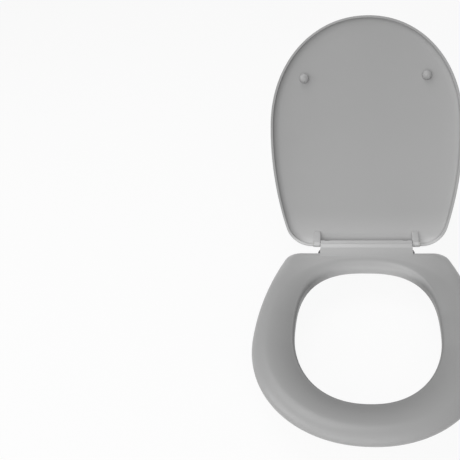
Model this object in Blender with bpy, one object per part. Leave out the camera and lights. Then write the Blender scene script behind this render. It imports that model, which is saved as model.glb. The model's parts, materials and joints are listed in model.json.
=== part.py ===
"""Toilet seat: a moulded ring and lid on two metal hinge posts, ring down and lid open.

Metres, +Z up, +X to the right and +Y to the back. The origin lies midway between the two posts, on the plane
of the bowl's rim. The ring and the lid turn on one line through both posts, AXIS_HEIGHT above that plane.
"""

import math

import bmesh
import bpy
import numpy as np

# Clearances
GAP = 0.0003
HINGE_PLAY = 0.0008
SLOT_PLAY = 0.0005

# Lid angle at rest, which is also as far as lid and ring lean back
OPEN_ANGLE = math.radians(130.0)

# Lid, closed: y counts from the hinge line and z from the height of the hinge line
LID_HALF_WIDTH = 0.185
LID_BACK = 0.0035
LID_WIDEST = -0.2355
LID_FRONT = -0.4515
LID_FRONT_POWER = 2.07
LID_SIDE_RADIUS = 0.650
LID_CORNER_START = 0.0045
LID_RING_GAP = 0.0012
LID_EDGE_RISE = 0.012
LID_EDGE_DEPTH = 0.013
LID_CROWN = 0.005
LID_WALL = 0.005
LID_LIP = 0.0048
LID_LIP_ROUND = 0.0012

# Recess under the lid's back edge, which clears the ring's tongue
RECESS_FRONT = -0.024
RECESS_DEPTH = 0.0012
NOTCH_CLEARANCE = 0.0025
BACK_WALL = 0.004

# Ring, lying down: y and z count as for the lid
RING_MARGIN = 0.001
RING_BACK = -0.023
RING_WIDEST = -0.2475
RING_FRONT_POWER = 2.1
RING_SIDE_RADIUS = 0.620
RING_CORNER_RADIUS = 0.028
RING_TOP = 0.0048
RING_BELLY = -0.0095
RING_BOTTOM = -0.016
SKIRT_LIFT = 0.0012
RING_SHOULDER = 0.017
RING_TAPER = 0.003
RING_FALL = 3.5
RING_SLOPE_BACK = 0.022
RING_SLOPE_FRONT = 0.054
RING_SLOPE_TURN = math.radians(100.0)
RING_WALL = 0.0045
RING_LIP_INSIDE = 0.001
RING_LIP_BACK = 0.013
RING_LIP_TURN = math.radians(75.0)

# Hole through the ring, by the width of the band around it
BAND_SIDE = 0.0676
BAND_BACK = 0.047
BAND_FRONT = 0.071
HOLE_WIDEST = -0.222
HOLE_BACK_POWER = 2.59
HOLE_FRONT_POWER = 2.23

# Tongue that joins the ring to the hinge
TONGUE_CHEEK = 0.0075
BARREL_RADIUS = 0.0075
BARREL_CLEARANCE = 0.0067
TONGUE_ROOT = -0.044
TONGUE_DIP = 0.0006

# Hinge hardware
POST_PITCH = 0.146
EYE_WALL = 0.003
EYE_WIDTH = 0.009
SHANK_DEPTH = 0.009
FOOT_ROOM = 0.0053
FOOT_THICKNESS = 0.002
BOSS_HEIGHT = 0.005
PIN_RADIUS = 0.0025
PIN_INNER_REACH = 0.0155
BUSH_WALL = 0.0009
LUG_WIDTH = 0.0122
LUG_WALL = 0.0015
LUG_FRONT = -0.026
CAP_LAP = 0.0013
CAP_FLANGE = 0.0016
CAP_SPIGOT = 0.0045
DOME_RADIUS = 0.0185
DOME_HEIGHT = 0.0065
DOME_WALL = 0.0012
DOME_POWER = 2.4
DOME_RIM = 0.0003
GASKET_THICKNESS = 0.0015
GASKET_OVERHANG = 0.0004

# Fixing below the bowl's shelf
STUD_RADIUS = 0.004
STUD_LENGTH = 0.048
STUD_ENGAGEMENT = 0.0054
SHELF_THICKNESS = 0.018
RUBBER_WASHER_RADIUS = 0.012
RUBBER_WASHER_THICKNESS = 0.003
PLASTIC_WASHER_RADIUS = 0.0135
PLASTIC_WASHER_THICKNESS = 0.002
NUT_RADIUS = 0.0085
NUT_HEIGHT = 0.012
WING_REACH = 0.023
WING_DROP = 0.006
WING_THICKNESS = 0.0032
WING_CORNER = 0.005

# Bumpers: direction from the seat's middle, 0 straight back, and place across the ring's band, 0 at the hole
LID_BUMPER_ANGLE = math.radians(130.9)
LID_BUMPER_SHARE = 0.316
LID_BUMPER_RADIUS = 0.009
LID_BUMPER_ROUNDING = 0.9
POCKET_DEPTH = 0.001
FRONT_BUMPER_ANGLE = math.radians(131.2)
FRONT_BUMPER_SHARE = 0.50
BACK_BUMPER_ANGLE = math.radians(35.9)
BACK_BUMPER_SHARE = 0.55
BUMPER_SEAT = 0.001
BUMPER_LENGTH = 0.022
BUMPER_WIDTH = 0.011
BUMPER_EDGE = 0.0015
PEG_RADIUS = 0.0022
PEG_LENGTH = 0.006
BOSS_MARGIN = 0.001
RIB_THICKNESS = 0.0025
RIB_RECESS = 0.004
RIB_ANGLES = (62.0, 97.0, 152.0)

# Fineness of the curved surfaces
AROUND = 72
ROUND_SEGMENTS = 20
DOME_SEGMENTS = 28
OUTLINE_SAMPLES = 60
CORNER_DENSITY = 0.02

# Places and sizes that follow from those above
RING_HALF_WIDTH = LID_HALF_WIDTH + RING_MARGIN
RING_FRONT = LID_FRONT - RING_MARGIN
RING_SKIRT_BOTTOM = RING_BOTTOM + SKIRT_LIFT
HOLE_HALF_WIDTH = RING_HALF_WIDTH - BAND_SIDE
HOLE_BACK = RING_BACK - BAND_BACK
HOLE_FRONT = RING_FRONT + BAND_FRONT
MIDDLE = (HOLE_BACK + HOLE_FRONT) / 2.0
POST_X = POST_PITCH / 2.0
FOOT_BASE = GASKET_THICKNESS + GAP
BOSS_TOP = FOOT_BASE + FOOT_THICKNESS + BOSS_HEIGHT
AXIS_HEIGHT = BOSS_TOP + BARREL_CLEARANCE + BARREL_RADIUS
FOOT_RADIUS = DOME_RADIUS - DOME_WALL - FOOT_ROOM
EYE_RADIUS = PIN_RADIUS + GAP + EYE_WALL
BUSH_RADIUS = PIN_RADIUS + GAP + BUSH_WALL
BORE_RADIUS = BUSH_RADIUS + GAP
LUG_EYE_RADIUS = BORE_RADIUS + LUG_WALL
CAP_FLANGE_RADIUS = BORE_RADIUS + CAP_LAP
SLOT_HALF = 0.5 * EYE_WIDTH + SLOT_PLAY
TONGUE_HALF_WIDTH = POST_X + SLOT_HALF + TONGUE_CHEEK
LUG_INNER = TONGUE_HALF_WIDTH + HINGE_PLAY
LUG_OUTER = LUG_INNER + LUG_WIDTH
LID_BACK_FLAT = LUG_OUTER + LID_CORNER_START
LID_RIM_HEIGHT = RING_TOP + LID_RING_GAP
NOTCH_HEIGHT = BARREL_RADIUS + NOTCH_CLEARANCE
BUMPER_TOP = RING_BOTTOM + BUMPER_SEAT


def paint(name, color, roughness, metallic=0.0):
    """One plain material with the part's colour and gloss."""
    material = bpy.data.materials.new(name)
    material.use_nodes = True
    shader = material.node_tree.nodes["Principled BSDF"]
    shader.inputs["Base Color"].default_value = (*color, 1.0)
    shader.inputs["Roughness"].default_value = roughness
    shader.inputs["Metallic"].default_value = metallic
    return material


def add_object(name, vertices, faces, material):
    """A mesh object with its faces turned outwards and its round sides shaded smooth."""
    mesh = bpy.data.meshes.new(name)
    mesh.from_pydata([tuple(map(float, v)) for v in vertices], [], faces)
    shell = bmesh.new()
    shell.from_mesh(mesh)
    bmesh.ops.recalc_face_normals(shell, faces=shell.faces)
    shell.to_mesh(mesh)
    shell.free()
    mesh.materials.append(material)
    mesh.shade_smooth()
    mesh.set_sharp_from_angle(angle=math.radians(35.0))
    piece = bpy.data.objects.new(name, mesh)
    bpy.context.collection.objects.link(piece)
    return piece


def combine(target, tool, operation):
    """Unite the tool with the target, or cut it away, and take the tool out of the scene."""
    modifier = target.modifiers.new(operation, "BOOLEAN")
    modifier.operation = operation
    modifier.solver = "EXACT"
    modifier.object = tool
    bpy.context.view_layer.update()
    shaped = bpy.data.meshes.new_from_object(target.evaluated_get(bpy.context.evaluated_depsgraph_get()))
    target.modifiers.clear()
    target.data = shaped
    bpy.data.objects.remove(tool)


def loop_faces(rows, columns, close_rows):
    """Quads of a grid whose columns run round; the rows join end to end when close_rows is set."""
    faces = []
    for row in range(rows if close_rows else rows - 1):
        after = (row + 1) % rows
        for column in range(columns):
            beside = (column + 1) % columns
            faces.append((row * columns + column, row * columns + beside,
                          after * columns + beside, after * columns + column))
    return faces


def turned(name, profile, material, segments=ROUND_SEGMENTS, hollow=False):
    """A piece turned about Z from (radius, height) points: a ring if hollow, else closed at both poles."""
    vertices = []
    angles = [2.0 * math.pi * k / segments for k in range(segments)]
    body = profile if hollow else profile[1:-1]
    for radius, height in body:
        vertices += [(radius * math.cos(a), radius * math.sin(a), height) for a in angles]
    faces = loop_faces(len(body), segments, hollow)
    if not hollow:
        first, last = len(vertices), len(vertices) + 1
        vertices += [(0.0, 0.0, profile[0][1]), (0.0, 0.0, profile[-1][1])]
        base = (len(body) - 1) * segments
        for k in range(segments):
            after = (k + 1) % segments
            faces.append((first, after, k))
            faces.append((last, base + k, base + after))
    return add_object(name, vertices, faces, material)


def prism(name, outline, low, high, material, along="X"):
    """A flat outline carried from low to high: (y, z) points along X, or (x, y) points along Z."""
    count = len(outline)
    vertices = []
    for level in (low, high):
        for a, b in outline:
            vertices.append((level, a, b) if along == "X" else (a, b, level))
    faces = [tuple(range(count)), tuple(range(count, 2 * count))]
    for k in range(count):
        after = (k + 1) % count
        faces.append((k, after, count + after, count + k))
    return add_object(name, vertices, faces, material)


def rod_along_x(name, radius, low, high, material, segments=ROUND_SEGMENTS):
    """A plain round bar along X between low and high."""
    angles = [2.0 * math.pi * k / segments for k in range(segments)]
    circle = [(radius * math.cos(a), radius * math.sin(a)) for a in angles]
    return prism(name, circle, low, high, material)


def seat_outline(half_width, back, widest, front, power, side_radius, corner_radius):
    """Right half of an outline, from the middle of the back to the front tip, as x and y arrays.

    A straight back edge meets a corner arc, then a long side arc that ends upright at the widest line, and
    the front is a quarter of a superellipse.
    """
    side_x = half_width - side_radius
    corner_y = back - corner_radius
    reach = side_radius - corner_radius
    corner_x = side_x + math.sqrt(reach ** 2 - (corner_y - widest) ** 2)
    turn = math.atan2(corner_y - widest, corner_x - side_x)
    straight = np.linspace(0.0, corner_x, OUTLINE_SAMPLES, endpoint=False)
    corner = np.linspace(math.pi / 2.0, turn, OUTLINE_SAMPLES, endpoint=False)
    side = np.linspace(turn, 0.0, OUTLINE_SAMPLES, endpoint=False)
    nose = np.linspace(0.0, math.pi / 2.0, 3 * OUTLINE_SAMPLES)
    x = np.concatenate([straight,
                        corner_x + corner_radius * np.cos(corner),
                        side_x + side_radius * np.cos(side),
                        half_width * np.clip(np.cos(nose), 0.0, 1.0) ** (2.0 / power)])
    y = np.concatenate([np.full_like(straight, back),
                        corner_y + corner_radius * np.sin(corner),
                        widest + side_radius * np.sin(side),
                        widest + (front - widest) * np.sin(nose) ** (2.0 / power)])
    return x, y


def lid_outline():
    """The lid's rim, whose corner arcs take up what its straight back edge and its long sides leave."""
    across = LID_BACK_FLAT - (LID_HALF_WIDTH - LID_SIDE_RADIUS)
    along = LID_BACK - LID_WIDEST
    corner_radius = (LID_SIDE_RADIUS ** 2 - across ** 2 - along ** 2) / (2.0 * (LID_SIDE_RADIUS - along))
    return seat_outline(LID_HALF_WIDTH, LID_BACK, LID_WIDEST, LID_FRONT, LID_FRONT_POWER, LID_SIDE_RADIUS,
                        corner_radius)


def ring_outline():
    """The ring's outer edge at its belly."""
    return seat_outline(RING_HALF_WIDTH, RING_BACK, RING_WIDEST, RING_FRONT, RING_FRONT_POWER,
                        RING_SIDE_RADIUS, RING_CORNER_RADIUS)


def angle_from_back(x, y):
    """Angle about the seat's middle, 0 straight back and growing to the right."""
    return np.arctan2(x, y - MIDDLE)


def outline_radius(outline, angle):
    """Distance from the seat's middle to an outline in the directions given, alike left and right."""
    x, y = outline
    return np.interp(np.abs(angle), angle_from_back(x, y), np.hypot(x, y - MIDDLE))


def hole_radius(angle):
    """Distance from the seat's middle to the hole's edge, which is two half superellipses."""
    sweep = np.linspace(0.0, math.pi / 2.0, 3 * OUTLINE_SAMPLES)
    across = np.clip(np.cos(sweep), 0.0, 1.0)
    back_x = HOLE_HALF_WIDTH * across[::-1] ** (2.0 / HOLE_BACK_POWER)
    back_y = HOLE_WIDEST + (HOLE_BACK - HOLE_WIDEST) * np.sin(sweep[::-1]) ** (2.0 / HOLE_BACK_POWER)
    front_x = HOLE_HALF_WIDTH * across[1:] ** (2.0 / HOLE_FRONT_POWER)
    front_y = HOLE_WIDEST + (HOLE_FRONT - HOLE_WIDEST) * np.sin(sweep[1:]) ** (2.0 / HOLE_FRONT_POWER)
    return outline_radius((np.concatenate([back_x, front_x]), np.concatenate([back_y, front_y])), angle)


def even_angles(outline):
    """Directions of points spaced evenly along a whole outline, denser in its corners."""
    x, y = outline
    step = np.hypot(np.diff(x), np.diff(y))
    heading = np.unwrap(np.arctan2(np.diff(y), np.diff(x)))
    bend = np.abs(np.append(np.diff(heading), 0.0))
    travel = np.concatenate([[0.0], np.cumsum(step + CORNER_DENSITY * bend)])
    half = np.interp(np.linspace(0.0, travel[-1], AROUND // 2 + 1), travel, angle_from_back(x, y))
    return np.concatenate([half, -half[-2:0:-1]])


def place(radius, height, angle):
    """Points at a distance and height in a direction from the seat's middle."""
    return np.stack([radius * np.sin(angle), MIDDLE + radius * np.cos(angle), height], axis=-1)


def smooth(share):
    """A share from 0 to 1 that starts and ends level, and stays there outside."""
    share = np.clip(share, 0.0, 1.0)
    return share * share * (3.0 - 2.0 * share)


def ring_height(angle, distance):
    """Height of the ring's top past its rounded shoulder, at a distance from the seat's middle.

    The top is level, then falls ever faster across a slope beside the hole. The slope is narrow at the back
    and widens towards the sides and the front.
    """
    share = smooth(np.abs(angle) / RING_SLOPE_TURN)
    inner = hole_radius(angle)
    room = outline_radius(ring_outline(), angle) - RING_SHOULDER - inner
    width = np.minimum(RING_SLOPE_BACK + (RING_SLOPE_FRONT - RING_SLOPE_BACK) * share, room)
    return RING_TOP - RING_FALL * np.clip(width - (distance - inner), 0.0, None) ** 2


def ring_lip(angle):
    """Radius that rounds the ring's top over into the hole: large at the back, small elsewhere."""
    small = RING_WALL + RING_LIP_INSIDE
    return RING_LIP_BACK + (small - RING_LIP_BACK) * smooth(np.abs(angle) / RING_LIP_TURN)


def ring_skin(angle, inset):
    """Rows of (distance, height) over the ring's section, from outer foot to hole skirt, inset by a wall."""
    outer = outline_radius(ring_outline(), angle)
    inner = hole_radius(angle)
    lip = ring_lip(angle)
    rows = [(outer - RING_TAPER - inset, np.full_like(outer, RING_BOTTOM)),
            (outer - 0.3 * RING_TAPER - inset, np.full_like(outer, 0.5 * (RING_BOTTOM + RING_BELLY)))]
    for turn in np.radians([0.0, 22.0, 45.0, 68.0]):
        depth = RING_SHOULDER - (RING_SHOULDER - inset) * math.cos(turn)
        rows.append((outer - depth,
                     np.full_like(outer, RING_BELLY + (RING_TOP - RING_BELLY - inset) * math.sin(turn))))
    for share in (0.0, 0.3, 0.55, 0.8, 1.0):
        distance = (outer - RING_SHOULDER) * (1.0 - share) + (inner + lip) * share
        rows.append((distance, ring_height(angle, distance) - inset))
    edge = ring_height(angle, inner + lip)
    for turn in np.radians([45.0, 90.0]):
        rows.append((inner + lip - (lip - inset) * math.sin(turn),
                     edge - lip + (lip - inset) * math.cos(turn)))
    rows.append((inner + inset, np.full_like(inner, RING_SKIRT_BOTTOM)))
    return rows


def ring_top_at(x, y):
    """Height of the ring's top above the hinge line at a place on it."""
    return float(ring_height(angle_from_back(x, y), math.hypot(x, y - MIDDLE)))


def band_place(angle, share):
    """X and y of a place on the ring, in a direction and at a share of the way from the hole outwards."""
    inner = float(hole_radius(angle))
    distance = inner + share * (float(outline_radius(ring_outline(), angle)) - inner)
    return distance * math.sin(angle), MIDDLE + distance * math.cos(angle)


def lid_dome(angle, depth):
    """How far the lid's slow crown lifts its surfaces at a depth inside the rim."""
    whole = outline_radius(lid_outline(), angle)
    return LID_CROWN * (1.0 - (1.0 - depth / whole) ** 2)


def quarter(share):
    """Height share of a quarter ellipse: 0 and upright at the start, 1 and level at the end."""
    return np.sqrt(1.0 - (1.0 - np.clip(share, 0.0, 1.0)) ** 2)


def lid_inside(angle, depth):
    """Height of the lid's underside at a depth inside the rim."""
    rise = LID_EDGE_RISE - LID_WALL
    return LID_RIM_HEIGHT + rise * quarter((depth - LID_LIP) / LID_EDGE_DEPTH) + lid_dome(angle, depth)


def lid_inside_at(x, y):
    """Height of the lid's underside at a place on it."""
    angle = angle_from_back(x, y)
    depth = outline_radius(lid_outline(), angle) - math.hypot(x, y - MIDDLE)
    return float(lid_inside(angle, depth))


def build_lid_shell(material):
    """The lid: a crowned shell with a rounded edge and a narrow lip, hinge lugs and a recess at its back."""
    angle = even_angles(lid_outline())
    whole = outline_radius(lid_outline(), angle)
    rows = []
    for share in (0.05, 0.25, 0.50, 0.75):
        depth = whole * (1.0 - share)
        rows.append(place(whole - depth, lid_inside(angle, depth), angle))
    for depth in LID_LIP + LID_EDGE_DEPTH * np.array([1.0, 0.5, 0.2, 0.0]):
        rows.append(place(whole - depth, lid_inside(angle, depth), angle))
    for depth, lift in ((LID_LIP - 0.3 * LID_LIP_ROUND, 0.0), (LID_LIP_ROUND, 0.0),
                        (0.3 * LID_LIP_ROUND, 0.3 * LID_LIP_ROUND)):
        rows.append(place(whole - depth, np.full_like(whole, LID_RIM_HEIGHT + lift), angle))
    for turn in np.radians([0.0, 25.0, 50.0, 72.0, 90.0]):
        depth = LID_EDGE_DEPTH * (1.0 - math.cos(turn))
        height = LID_RIM_HEIGHT + LID_LIP_ROUND + (LID_EDGE_RISE - LID_LIP_ROUND) * math.sin(turn)
        rows.append(place(whole - depth, height + lid_dome(angle, depth), angle))
    for share in (0.75, 0.50, 0.25, 0.05):
        depth = whole * (1.0 - share)
        rows.append(place(whole - depth, LID_RIM_HEIGHT + LID_EDGE_RISE + lid_dome(angle, depth), angle))
    count = len(angle)
    vertices = list(np.concatenate(rows))
    faces = loop_faces(len(rows), count, False)
    under, over = len(vertices), len(vertices) + 1
    vertices.append((0.0, MIDDLE, LID_RIM_HEIGHT + LID_EDGE_RISE - LID_WALL + LID_CROWN))
    vertices.append((0.0, MIDDLE, LID_RIM_HEIGHT + LID_EDGE_RISE + LID_CROWN))
    last = (len(rows) - 1) * count
    for k in range(count):
        after = (k + 1) % count
        faces.append((under, after, k))
        faces.append((over, last + k, last + after))
    lid = add_object("lid_shell", vertices, faces, material)
    recess_top = lid_inside_at(0.0, RECESS_FRONT) + RECESS_DEPTH
    below = -2.0 * BARREL_RADIUS
    recess = [(RECESS_FRONT, below), (RECESS_FRONT, recess_top), (LID_BACK - BACK_WALL, recess_top),
              (LID_BACK - BACK_WALL, NOTCH_HEIGHT), (LID_BACK + BACK_WALL, NOTCH_HEIGHT),
              (LID_BACK + BACK_WALL, below)]
    combine(lid, prism("recess", recess, -LUG_INNER, LUG_INNER, material), "DIFFERENCE")
    root = lid_inside_at(LUG_INNER, LUG_FRONT) + 0.4 * LID_WALL
    bumper_x, bumper_y = band_place(LID_BUMPER_ANGLE, LID_BUMPER_SHARE)
    for side in (-1.0, 1.0):
        inner, outer = sorted((side * LUG_INNER, side * LUG_OUTER))
        combine(lid, prism("lug", lug_outline(root), inner, outer, material), "UNION")
        inner, outer = sorted((side * (LUG_INNER - GAP), side * (LUG_OUTER + GAP)))
        combine(lid, rod_along_x("bore", BORE_RADIUS, inner, outer, material), "DIFFERENCE")
        floor = lid_inside_at(bumper_x, bumper_y) + POCKET_DEPTH
        wide = LID_BUMPER_RADIUS + GAP
        pocket = turned("pocket", [(0.0, floor), (wide, floor), (wide, LID_RIM_HEIGHT),
                                   (0.0, LID_RIM_HEIGHT)], material)
        pocket.location = (side * bumper_x, bumper_y, 0.0)
        combine(lid, pocket, "DIFFERENCE")
    return lid


def lug_outline(root):
    """Side view of a lid lug: an eye round the hinge line, with a web that spreads up into the lid."""
    front_tangent = math.radians(-158.0)
    back_tangent = math.radians(12.0)
    points = [(LUG_EYE_RADIUS * math.cos(a), LUG_EYE_RADIUS * math.sin(a))
              for a in np.linspace(front_tangent, back_tangent, 14)]
    points += [(LID_BACK - 0.35 * LID_LIP, LID_RIM_HEIGHT + 0.2 * LID_EDGE_RISE),
               (LID_BACK - 0.55 * LID_EDGE_DEPTH, root), (LUG_FRONT, root),
               (LUG_FRONT, root - 0.6 * LID_WALL)]
    return points


def ring_section_mesh(material):
    """The ring itself: a hollow moulding, open beneath, carried round the hole."""
    angle = even_angles(ring_outline())
    rows = ring_skin(angle, 0.0) + ring_skin(angle, RING_WALL)[::-1]
    vertices = np.concatenate([place(distance, height, angle) for distance, height in rows])
    return add_object("seat_ring", vertices, loop_faces(len(rows), len(angle), True), material)


def add_rib(ring, degrees, material):
    """A thin wall across the ring's hollow underside, in a plane through the seat's middle."""
    angle = np.array([math.radians(degrees)])
    rows = [(float(distance[0]), max(float(height[0]), RING_BOTTOM + RIB_RECESS))
            for distance, height in ring_skin(angle, 0.5 * RING_WALL)]
    rows = rows[1:]
    rib = prism("rib", rows, -0.5 * RIB_THICKNESS, 0.5 * RIB_THICKNESS, material)
    rib.location = (0.0, MIDDLE, 0.0)
    rib.rotation_euler = (0.0, 0.0, -float(angle[0]))
    combine(ring, rib, "UNION")


def stadium(length, width, count=7):
    """A slot-shaped outline, long side along Y."""
    radius = 0.5 * width
    shift = 0.5 * length - radius
    ends = []
    for start, offset in ((0.0, shift), (math.pi, -shift)):
        ends += [(radius * math.cos(start + a), offset + radius * math.sin(start + a))
                 for a in np.linspace(0.0, math.pi, count)]
    return ends


def bumper_places():
    """Name, x, y and turn of each bumper under the ring, long side along the ring."""
    places = []
    for side, word in ((-1.0, "left"), (1.0, "right")):
        for end, angle, share in (("front", FRONT_BUMPER_ANGLE, FRONT_BUMPER_SHARE),
                                  ("back", BACK_BUMPER_ANGLE, BACK_BUMPER_SHARE)):
            x, y = band_place(angle, share)
            places.append((f"seat_bumper_{end}_{word}", side * x, y, math.pi / 2.0 - side * angle))
    return places


def tongue_outline():
    """Side view of the tongue: a barrel round the hinge line, and a neck that runs into the ring's top."""
    root_top = ring_top_at(0.0, TONGUE_ROOT) - 0.2 * RING_WALL
    start = math.radians(102.0)
    end = math.radians(-118.0)
    points = [(BARREL_RADIUS * math.cos(a), BARREL_RADIUS * math.sin(a)) for a in np.linspace(start, end, 25)]
    neck = 0.7 * RING_WALL
    points += [(RING_BACK - 0.4 * RING_WALL, RING_BELLY + 0.3 * (RING_TOP - RING_BELLY)),
               (TONGUE_ROOT, root_top - neck), (TONGUE_ROOT, root_top)]
    for share in (0.25, 0.5, 0.75):
        level = root_top + (BARREL_RADIUS * math.sin(start) - root_top) * share
        points.append((TONGUE_ROOT * (1.0 - share) + BARREL_RADIUS * math.cos(start) * share,
                       level + TONGUE_DIP * math.sin(math.pi * share)))
    return points


def slot_outline():
    """Side view of a post slot: round the eye, and open from below the barrel round to its back.

    Its two straight sides lie along the shank with the ring down and with the ring fully raised.
    """
    half = 0.5 * SHANK_DEPTH + SLOT_PLAY
    wide = 1.6 * BARREL_RADIUS
    close = EYE_RADIUS + SLOT_PLAY
    far_turn = math.asin(half / wide)
    near_turn = math.asin(half / close)
    points = [(wide * math.sin(a), -wide * math.cos(a))
              for a in np.linspace(-far_turn, OPEN_ANGLE + far_turn, 20)]
    points += [(close * math.sin(a), -close * math.cos(a))
               for a in np.linspace(OPEN_ANGLE + near_turn, 2.0 * math.pi - near_turn, 16)]
    return points


def build_seat_ring(material):
    """The ring with its tongue, bosses and ribs, its post slots, pin bores and bumper holes."""
    ring = ring_section_mesh(material)
    tongue = prism("tongue", tongue_outline(), -TONGUE_HALF_WIDTH, TONGUE_HALF_WIDTH, material)
    combine(ring, tongue, "UNION")
    for degrees in RIB_ANGLES:
        for side in (-1.0, 1.0):
            add_rib(ring, side * degrees, material)
    for _, x, y, turn in bumper_places():
        outline = stadium(BUMPER_LENGTH + 2.0 * BOSS_MARGIN, BUMPER_WIDTH + 2.0 * BOSS_MARGIN)
        boss = prism("boss", outline, BUMPER_TOP, ring_top_at(x, y) - 0.55 * RING_WALL, material, along="Z")
        boss.location = (x, y, 0.0)
        boss.rotation_euler = (0.0, 0.0, turn)
        combine(ring, boss, "UNION")
    for _, x, y, _ in bumper_places():
        top = BUMPER_TOP + PEG_LENGTH + GAP
        hole = turned("hole", [(0.0, top), (PEG_RADIUS + GAP, top), (PEG_RADIUS + GAP, 2.0 * RING_BOTTOM),
                               (0.0, 2.0 * RING_BOTTOM)], material, segments=16)
        hole.location = (x, y, 0.0)
        combine(ring, hole, "DIFFERENCE")
    for side in (-1.0, 1.0):
        middle = side * POST_X
        slot = prism("slot", slot_outline(), middle - SLOT_HALF, middle + SLOT_HALF, material)
        combine(ring, slot, "DIFFERENCE")
        deep, open_end = POST_X - PIN_INNER_REACH - GAP, TONGUE_HALF_WIDTH + GAP
        low, high = sorted((side * deep, side * open_end))
        combine(ring, rod_along_x("bore", BORE_RADIUS, low, high, material), "DIFFERENCE")
    return ring


def build_seat_bumper(name, material):
    """A soft pad with rounded lower edges and a peg on top that plugs into its boss."""
    base = -AXIS_HEIGHT
    pad = prism(name, stadium(BUMPER_LENGTH - 2.0 * BUMPER_EDGE, BUMPER_WIDTH - 2.0 * BUMPER_EDGE), base,
                base + 0.4 * BUMPER_EDGE, material, along="Z")
    upper = prism("upper", stadium(BUMPER_LENGTH, BUMPER_WIDTH), base + BUMPER_EDGE, BUMPER_TOP - GAP,
                  material, along="Z")
    lower = prism("lower", stadium(BUMPER_LENGTH - 0.8 * BUMPER_EDGE, BUMPER_WIDTH - 0.8 * BUMPER_EDGE),
                  base + 0.3 * BUMPER_EDGE, base + 1.1 * BUMPER_EDGE, material, along="Z")
    combine(pad, lower, "UNION")
    combine(pad, upper, "UNION")
    top = BUMPER_TOP + PEG_LENGTH
    peg = turned("peg", [(0.0, top), (PEG_RADIUS, top), (PEG_RADIUS, BUMPER_TOP - 3.0 * GAP),
                         (0.0, BUMPER_TOP - 3.0 * GAP)], material, segments=16)
    combine(pad, peg, "UNION")
    return pad


def build_lid_bumper(name, material):
    """A round button with a domed tip that meets the ring when the lid is closed."""
    place_on_ring = band_place(LID_BUMPER_ANGLE, LID_BUMPER_SHARE)
    top = lid_inside_at(*place_on_ring) + POCKET_DEPTH - GAP
    tip = ring_top_at(*place_on_ring) + GAP
    radius = LID_BUMPER_RADIUS
    dome = LID_BUMPER_ROUNDING * radius
    profile = [(0.0, top), (radius, top)]
    profile += [(radius * math.cos(a), tip + dome * (1.0 - math.sin(a)))
                for a in np.radians([0.0, 25.0, 50.0, 72.0])]
    profile.append((0.0, tip))
    return turned(name, profile, material)


def build_post(name, material):
    """Die-cast post: a foot and a threaded boss that take the stud, and a flat shank with an eye on top."""
    post = turned(name, [(0.0, BOSS_TOP), (EYE_RADIUS, BOSS_TOP), (EYE_RADIUS, FOOT_BASE + FOOT_THICKNESS),
                         (FOOT_RADIUS, FOOT_BASE + FOOT_THICKNESS), (FOOT_RADIUS, FOOT_BASE),
                         (0.0, FOOT_BASE)], material)
    half = 0.5 * SHANK_DEPTH
    shank = [(-half, BOSS_TOP - GAP), (half, BOSS_TOP - GAP), (half, AXIS_HEIGHT), (-half, AXIS_HEIGHT)]
    combine(post, prism("shank", shank, -0.5 * EYE_WIDTH, 0.5 * EYE_WIDTH, material), "UNION")
    eye = rod_along_x("eye", EYE_RADIUS, -0.5 * EYE_WIDTH, 0.5 * EYE_WIDTH, material)
    eye.location = (0.0, 0.0, AXIS_HEIGHT)
    combine(post, eye, "UNION")
    bore = rod_along_x("bore", PIN_RADIUS + GAP, -EYE_WIDTH, EYE_WIDTH, material)
    bore.location = (0.0, 0.0, AXIS_HEIGHT)
    combine(post, bore, "DIFFERENCE")
    depth = FOOT_BASE + STUD_ENGAGEMENT + GAP
    socket = turned("socket", [(0.0, depth), (STUD_RADIUS + GAP, depth), (STUD_RADIUS + GAP, 0.0),
                               (0.0, 0.0)], material)
    combine(post, socket, "DIFFERENCE")
    return post


def build_dome(name, material):
    """Pressed metal cover over the post's foot, with a round opening at its top for the boss."""
    opening = EYE_RADIUS + GAP
    radii = np.linspace(DOME_RADIUS, opening, 7)
    inner_radii = np.linspace(opening, DOME_RADIUS - DOME_WALL, 5)
    inner_height = DOME_HEIGHT - DOME_WALL
    outer = [(r, FOOT_BASE + DOME_RIM + DOME_HEIGHT * (1.0 - (r / DOME_RADIUS) ** DOME_POWER)) for r in radii]
    inner = [(r, FOOT_BASE + inner_height * (1.0 - (r / (DOME_RADIUS - DOME_WALL)) ** DOME_POWER))
             for r in inner_radii]
    return turned(name, outer + inner + [(DOME_RADIUS, FOOT_BASE)], material, segments=DOME_SEGMENTS,
                  hollow=True)


def washer(name, radius, top, thickness, material, segments=ROUND_SEGMENTS):
    """A flat ring that slides on the stud."""
    bore = STUD_RADIUS + GAP
    profile = [(radius, top), (radius, top - thickness), (bore, top - thickness), (bore, top)]
    return turned(name, profile, material, segments=segments, hollow=True)


def build_stud(name, material):
    """Threaded stud, its upper end in the post's boss and its ends chamfered."""
    top = FOOT_BASE + STUD_ENGAGEMENT
    end = top - STUD_LENGTH
    chamfer = 0.2 * STUD_RADIUS
    profile = [(0.0, top), (STUD_RADIUS - chamfer, top), (STUD_RADIUS, top - chamfer),
               (STUD_RADIUS, end + chamfer), (STUD_RADIUS - chamfer, end), (0.0, end)]
    return turned(name, profile, material)


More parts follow.
